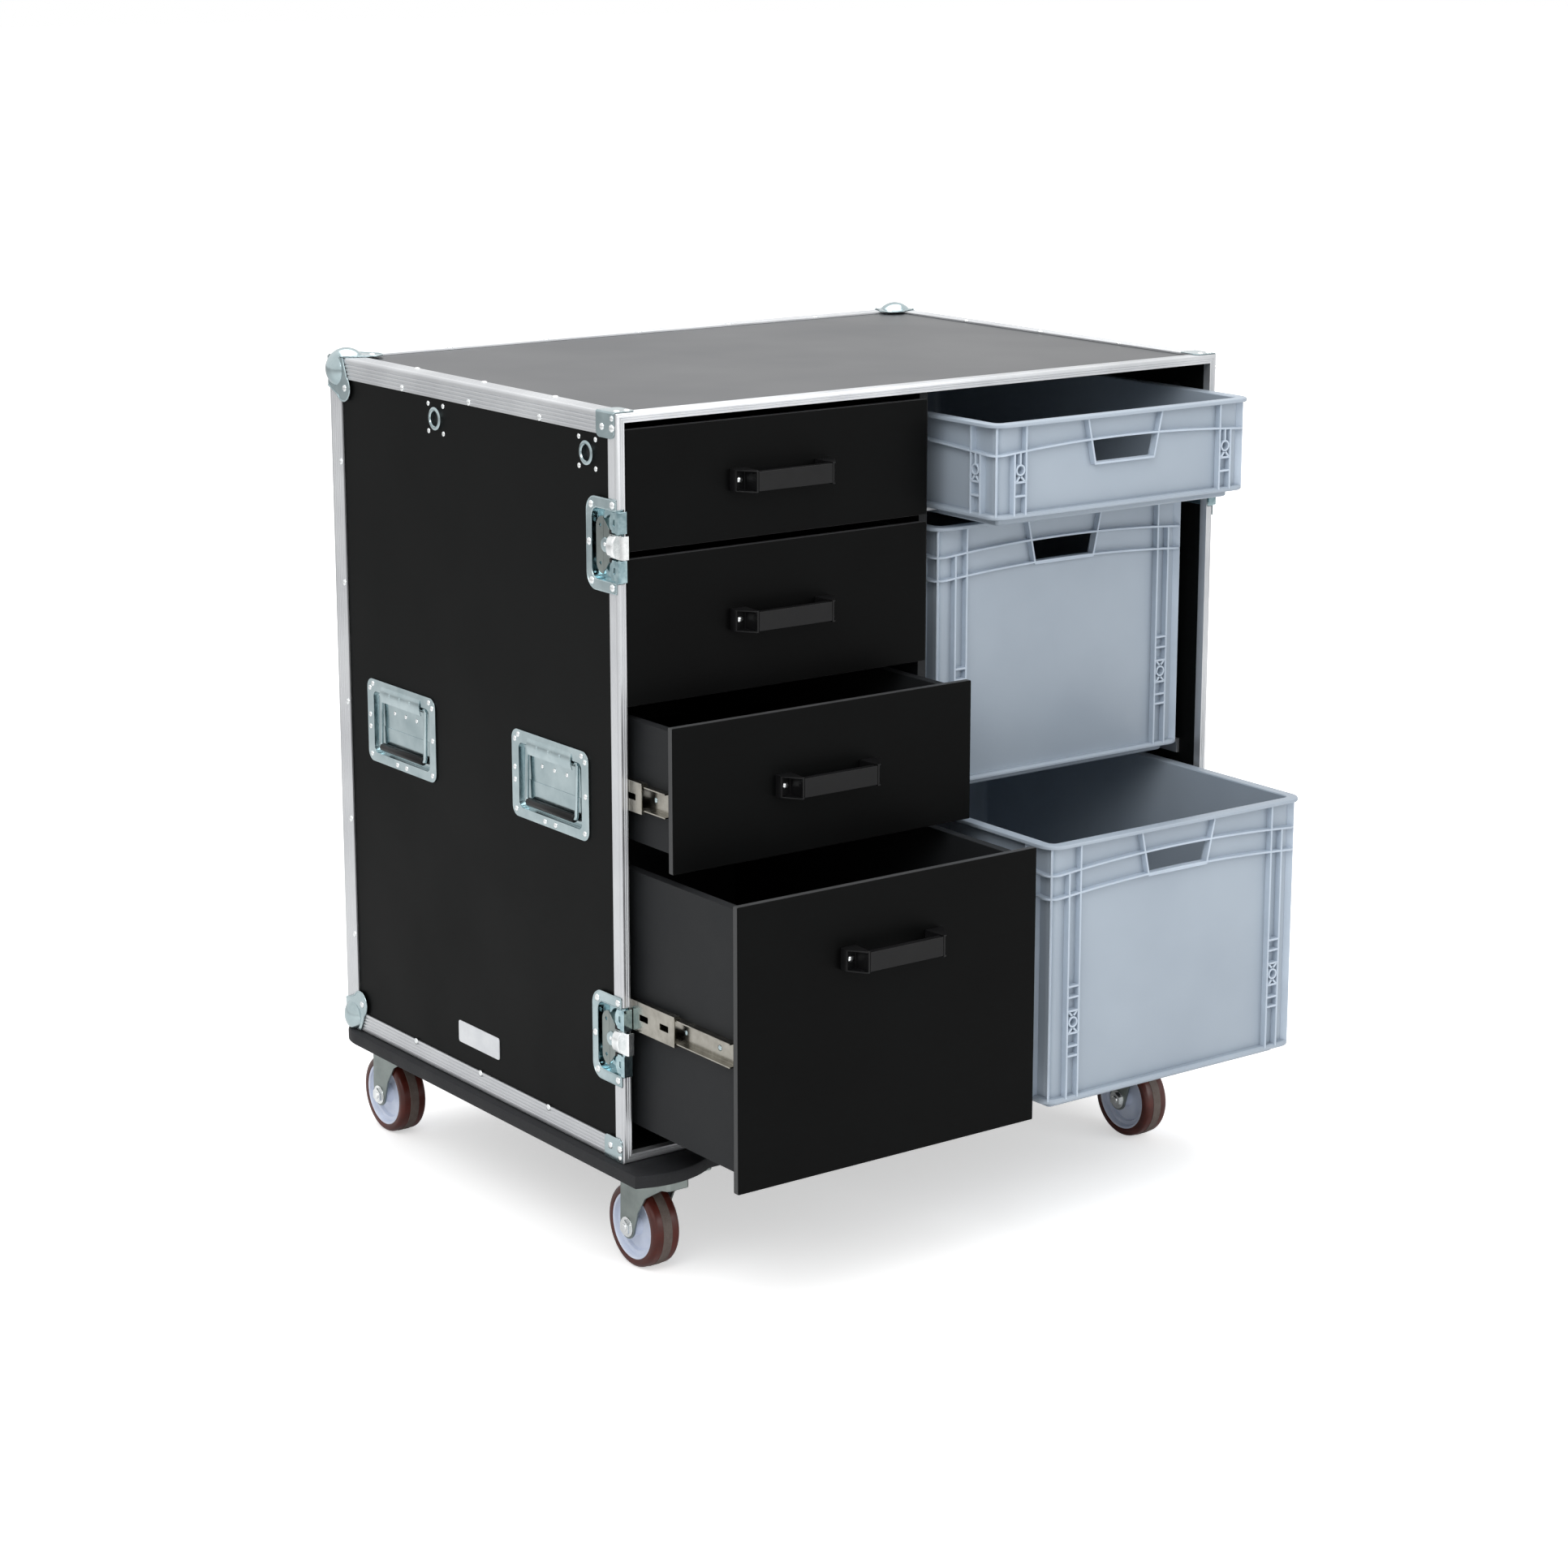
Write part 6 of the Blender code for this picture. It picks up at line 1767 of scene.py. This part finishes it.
@dataclass
class Castor:
    """Swivel castor: pressed fork, bolt with hex nuts, dished nylon hub and cast tread."""

    trail: float = 0.038
    head_half: float = 0.034
    inside: float = 0.0208
    sheet: float = 0.0028
    wheel: float = 0.050
    wheel_width: float = 0.036
    hub: float = 0.0395
    axle: float = 0.005
    tip: float = 0.0142
    shoulder: float = 0.0062
    running_half: float = 0.0058

    def build(self, end: str, side: int) -> Point:
        """Builds one castor.

        Args:
            end: "front" or "rear".
            side: -1 for left, 1 for right.

        Returns:
            The place of its swivel axis.
        """
        name = f"{end}_{SIDE_NAMES[side]}"
        low, high = CASE.box(f"{name}_castor_wheel")
        hub = (low + high) / 2
        top = CASE.box(f"{name}_castor_fork")[1]
        x, y = hub.x, hub.y - self.trail
        self.build_fork(name, x, y, top.z, hub)
        self.build_wheel(name, hub)
        if end == "front":
            self.build_brake(name, x, y, top.z, top.y)
        return x, y

    def build_fork(self, name: str, x: float, y: float, head: float, hub: Vector) -> None:
        """The fork: straight legs over the axle, folded in ahead of it to a narrow nose, and the bolt."""
        wide, tip, y0, z0 = self.inside + self.sheet, self.tip, hub.y, hub.z
        nose, fold, t = y - self.head_half, y0 - 0.0150, self.sheet
        plan = [(wide, y0 + 0.03), (wide, fold), (0.0150, nose + 0.003), (0.0120, nose)]
        hollow = [(self.inside, y0 + 0.04), (self.inside, fold + 0.0008),
                  (0.0140 - t * 0.6, nose + 0.0045), (0.0110, nose + t)]
        plan, hollow = [[(x + u, v) for u, v in mirrored(half)] for half in (plan, hollow)]
        low = z0 - tip - 0.002
        body = carve(
            Stock().prism(plan, low, head, "Z"), [Stock().prism(hollow, low - 0.01, head - 0.003, "Z")]
        )
        kept = [(y0 + 0.0125, head + 0.01), (y0 + tip, z0 + 0.010)] + arc(tip, 15, 0, -175, (y0, z0))
        kept += [(y0 - 0.0205, z0 + 0.022), (y0 - 0.0330, z0 + 0.043), (nose + 0.012, head - 0.0150),
                 (nose - 0.01, head - 0.0120), (nose - 0.01, head + 0.01)]
        # Darker zinc on the fork: painted shade under the case
        carve(body, [Stock().prism(kept, x - 0.05, x + 0.05, "X")], "INTERSECT").place(
            f"{name}_fork_pressing", Stuff.FORK_ZINC, f"{name}_fork", "zinc", (f"{name}_castor_fork",),
            bevel=0.0007, steps=3,
        )
        bolt, r, reach = Stock(), self.axle, wide + 0.006
        shank = mirrored([(-reach, 0.0), (-reach, r - 0.0008), (0.0008 - reach, r)])
        bolt.turned(shank, 24, "X", hub)
        nut = [(y0 + a, z0 + b) for a, b in circle(r * 1.9, 6)]
        washer = [(wide, 0.0), (wide, r * 2.4), (wide + 0.0012, r * 2.4), (wide + 0.0012, 0.0)]
        for sign in (-1, 1):
            ends = sorted((x + sign * (wide - 0.0005), x + sign * (wide + 0.0046)))
            bolt.prism(nut, *ends, "X")
            bolt.turned([(sign * u, v) for u, v in washer], 28, "X", hub)
        bolt.place(f"{name}_axle_bolt", Stuff.NICKEL, f"{name}_fork", "zinc", bevel=0.0004)

    def build_wheel(self, name: str, hub: Vector) -> None:
        """The dished hub, the tread with rounded shoulders and the scuffed band that runs on the floor."""
        w, r, h = self.wheel_width / 2, self.wheel, self.hub
        bore, cap, body = self.axle + GAP, self.inside - 0.0012, f"{name}_wheel"
        half = [
            (cap, bore), (cap, bore + 0.0045), (cap - 0.0010, bore + 0.0055), (0.0090, bore + 0.0070),
            (0.0070, h * 0.50), (0.0070, h * 0.76), (0.0110, h * 0.79), (0.0114, h * 0.90),
            (w - 0.0016, h * 0.94), (w - 0.0008, h - 0.0006), (w - 0.0010, h + 0.0003),
            (w - 0.004, h + 0.001),
        ]
        Stock().turned(mirrored(half), 64, "X", hub).place(
            f"{name}_hub", Stuff.HUB, body, "tread", (f"{name}_castor_wheel",), bevel=0.0003
        )
        round_edge = arc(self.shoulder, 8, 0, 80, (w - self.shoulder, r - 0.0005 - self.shoulder))
        half = [(w - 0.001, h + 0.0001), (w, h + 0.0011)] + round_edge + [(0.008, r - 0.0005)]
        band = [(self.running_half + 0.0006, r - 0.0012), (self.running_half, r)]
        for part, stuff, points in (("tread", Stuff.TREAD, half), ("running_band", Stuff.SCUFF, band)):
            Stock().turned(mirrored(points), 72, "X", hub).place(
                f"{name}_{part}", stuff, body, "tread", smooth=30
            )

    def build_brake(self, name: str, x: float, y: float, head: float, back: float) -> None:
        """The pressed brake tread behind a front fork: it slopes down to the rear and ends in a lip."""
        wide = self.inside + self.sheet + 0.0015
        front, top, t = y + self.head_half - 0.012, head - 0.003, 0.0018
        outline = [(front, top), (back - 0.011, top - 0.0050)]
        outline += arc(0.0060, 6, 65, -65, (back - 0.0060, top - 0.0115))
        outline += [(back, top - 0.0160), (back - t, top - 0.0160), (back - t, top - 0.0115),
                    (back - 0.0055, top - 0.0080), (front, top - t)]
        tread = Stock().prism(outline, x - wide, x + wide, "X")
        cheek = [(front, top - t / 2), (back - 0.011, top - 0.0060), (back - t / 2, top - 0.0115),
                 (back - t / 2, top - 0.0150), (front, top - 0.0110)]
        for end in (-1, 1):
            tread.prism(cheek, *sorted((x + end * (wide - 0.0015), x + end * (wide - 0.0001))), "X")
        tread.place(
            f"{name}_brake_tread", Stuff.FORK_ZINC, f"{name}_fork", "zinc", bevel=0.0006, steps=3
        )


# Studio


@dataclass
class Studio:
    """Camera, floor, soft lights and a white surround."""

    eye: tuple[float, float, float] = (-2.4926, -3.1202, 1.3801)
    pitch: float = 12.82
    heading: float = -36.28
    lens: float = 80.494
    shift: Point = (-0.0055, -0.0506)
    floor_lift: float = 0.5
    softboxes: tuple[tuple[str, tuple[float, float, float], float, float], ...] = (
        ("key_softbox", (-2.6, -2.2, 3.4), 2.6, 95), ("front_softbox", (1.6, -3.6, 2.0), 2.4, 50),
        ("top_softbox", (0.3, 0.6, 3.6), 3.0, 70),
    )

    def build(self) -> None:
        """Builds the camera, the floor and the light."""
        lens = bpy.data.cameras.new("camera")
        lens.lens = self.lens
        lens.shift_x, lens.shift_y = self.shift
        eye = linked("camera", lens)
        eye.location = Vector(self.eye) + Vector((0, CASE.front, CASE.under))
        eye.rotation_euler = (math.radians(90 - self.pitch), 0, math.radians(self.heading))
        bpy.context.scene.camera = eye
        self.floor()
        for lamp in self.softboxes:
            self.light(*lamp)
        self.world()
        bpy.context.scene.view_settings.view_transform = "Standard"

    def floor(self) -> None:
        """A wide pale floor that keeps the object's shadow and runs out to white."""
        data = bpy.data.meshes.new("floor")
        data.from_pydata([(-40, -40, 0), (40, -40, 0), (40, 40, 0), (-40, 40, 0)], [], [(0, 1, 2, 3)])
        ground = linked("floor", data)
        white = bpy.data.materials.new("pale_floor")
        white.use_nodes = True
        tree = white.node_tree
        tree.nodes.clear()
        matt = node(tree, "ShaderNodeBsdfDiffuse", {"Color": linear("#f2f2f2")})
        where = node(tree, "ShaderNodeTexCoord").outputs["Object"]
        away = node(tree, "ShaderNodeVectorMath", {0: where}, operation="LENGTH").outputs["Value"]
        share = node(
            tree, "ShaderNodeMapRange",
            {"Value": away, "From Min": 1.0, "From Max": 3.5, "To Min": self.floor_lift, "To Max": 1.0},
        )
        seen = node(tree, "ShaderNodeLightPath").outputs["Is Camera Ray"]
        glow = node(tree, "ShaderNodeMath", {0: share.outputs[0], 1: seen}, operation="MULTIPLY")
        paper = node(tree, "ShaderNodeEmission", {"Color": (1, 1, 1, 1), "Strength": glow.outputs[0]})
        both = node(tree, "ShaderNodeAddShader", {0: matt.outputs[0], 1: paper.outputs[0]})
        node(tree, "ShaderNodeOutputMaterial", {"Surface": both.outputs[0]})
        data.materials.append(white)

    @staticmethod
    def light(name: str, place: tuple[float, float, float], size: float, power: float) -> None:
        """One square softbox aimed at the middle of the case."""
        lamp = bpy.data.lights.new(name, "AREA")
        lamp.size = size
        lamp.energy = power
        holder = linked(name, lamp)
        holder.location = place
        holder.rotation_euler = (Vector((0, 0, 0.5)) - Vector(place)).to_track_quat("-Z", "Y").to_euler()

    @staticmethod
    def world() -> None:
        """White to the camera and in reflections, a softer grey as light."""
        around = bpy.data.worlds.new("studio")
        bpy.context.scene.world = around
        around.use_nodes = True
        tree = around.node_tree
        tree.nodes.clear()
        path = node(tree, "ShaderNodeLightPath").outputs
        seen = path["Is Camera Ray"]
        for other in ("Is Glossy Ray", "Is Transmission Ray"):
            seen = node(tree, "ShaderNodeMath", {0: seen, 1: path[other]}, operation="MAXIMUM").outputs[0]
        soft, white = [
            node(tree, "ShaderNodeBackground", {"Color": (1, 1, 1, 1), "Strength": strength}).outputs[0]
            for strength in (0.6, 1.0)
        ]
        mixed = node(tree, "ShaderNodeMixShader", {0: seen, 1: soft, 2: white})
        node(tree, "ShaderNodeOutputWorld", {"Surface": mixed.outputs[0]})


def main() -> None:
    """Builds every sub-assembly in order."""
    latch, handle = Latch(), CarryHandle()
    latches = {"upper": CASE.height - latch.drop, "lower": latch.lift}
    handles = {}
    for place in ("front", "rear"):
        low, high = CASE.box(f"left_{place}_handle_dish")
        handles[place] = (low.y + high.y) / 2
    rivets = RivetSet("case_rivets", "case")
    sockets = RingSocket()
    frame_parts = EdgeFrame()
    frame_parts.build_front(latch.tray_half + latch.sheet + GAP, list(latches.values()))
    frame_parts.build_rear()
    frame_parts.build_braces(rivets)
    frame_parts.build_rivets(rivets)
    BallCorner().build(rivets)
    sockets.build(rivets)
    NamePlate().build()
    panels = Panels()
    divider_x = CASE.box("divider")[0].x + panels.member_depth
    panels.build_sides(list(latches.values()), list(handles.values()), sockets)
    panels.build_divider(divider_x)
    levels = [CASE.box(f"container_{name}")[0].z for name in ("upper", "middle", "lower")]
    panels.build_rails(divider_x, levels)
    drawer = Drawer()
    walls = [(CASE.inward(-1, panels.inner), 1), (divider_x, -1)]
    panels.build_case_members(walls, [drawer.slide_level(n) for n in range(1, 5)])
    dress(["bottom_panel", "rear_panel"], Stuff.LAMINATE)
    # The top's lighter, bluish laminate is painted reflection of the white surround
    dress(["top_panel"], Stuff.TOP_LAMINATE)
    for side in SIDE_NAMES:
        for level, z in latches.items():
            latch.build(side, level, z, rivets)
        for place, y in handles.items():
            handle.build(side, place, y, rivets)
    rivets.place()
    pull = Pull()
    for number in range(1, 5):
        drawer.build(number, pull)
    for name, tall in (("upper", False), ("middle", True), ("lower", True)):
        Container(f"container_{name}", tall).build()
    castor = Castor()
    castors = [castor.build(end, side) for end in ("front", "rear") for side in SIDE_NAMES]
    Board().build(castors)
    Studio().build()


if __name__ == "__main__":
    logging.basicConfig(level=logging.INFO, format="%(message)s")
    main()
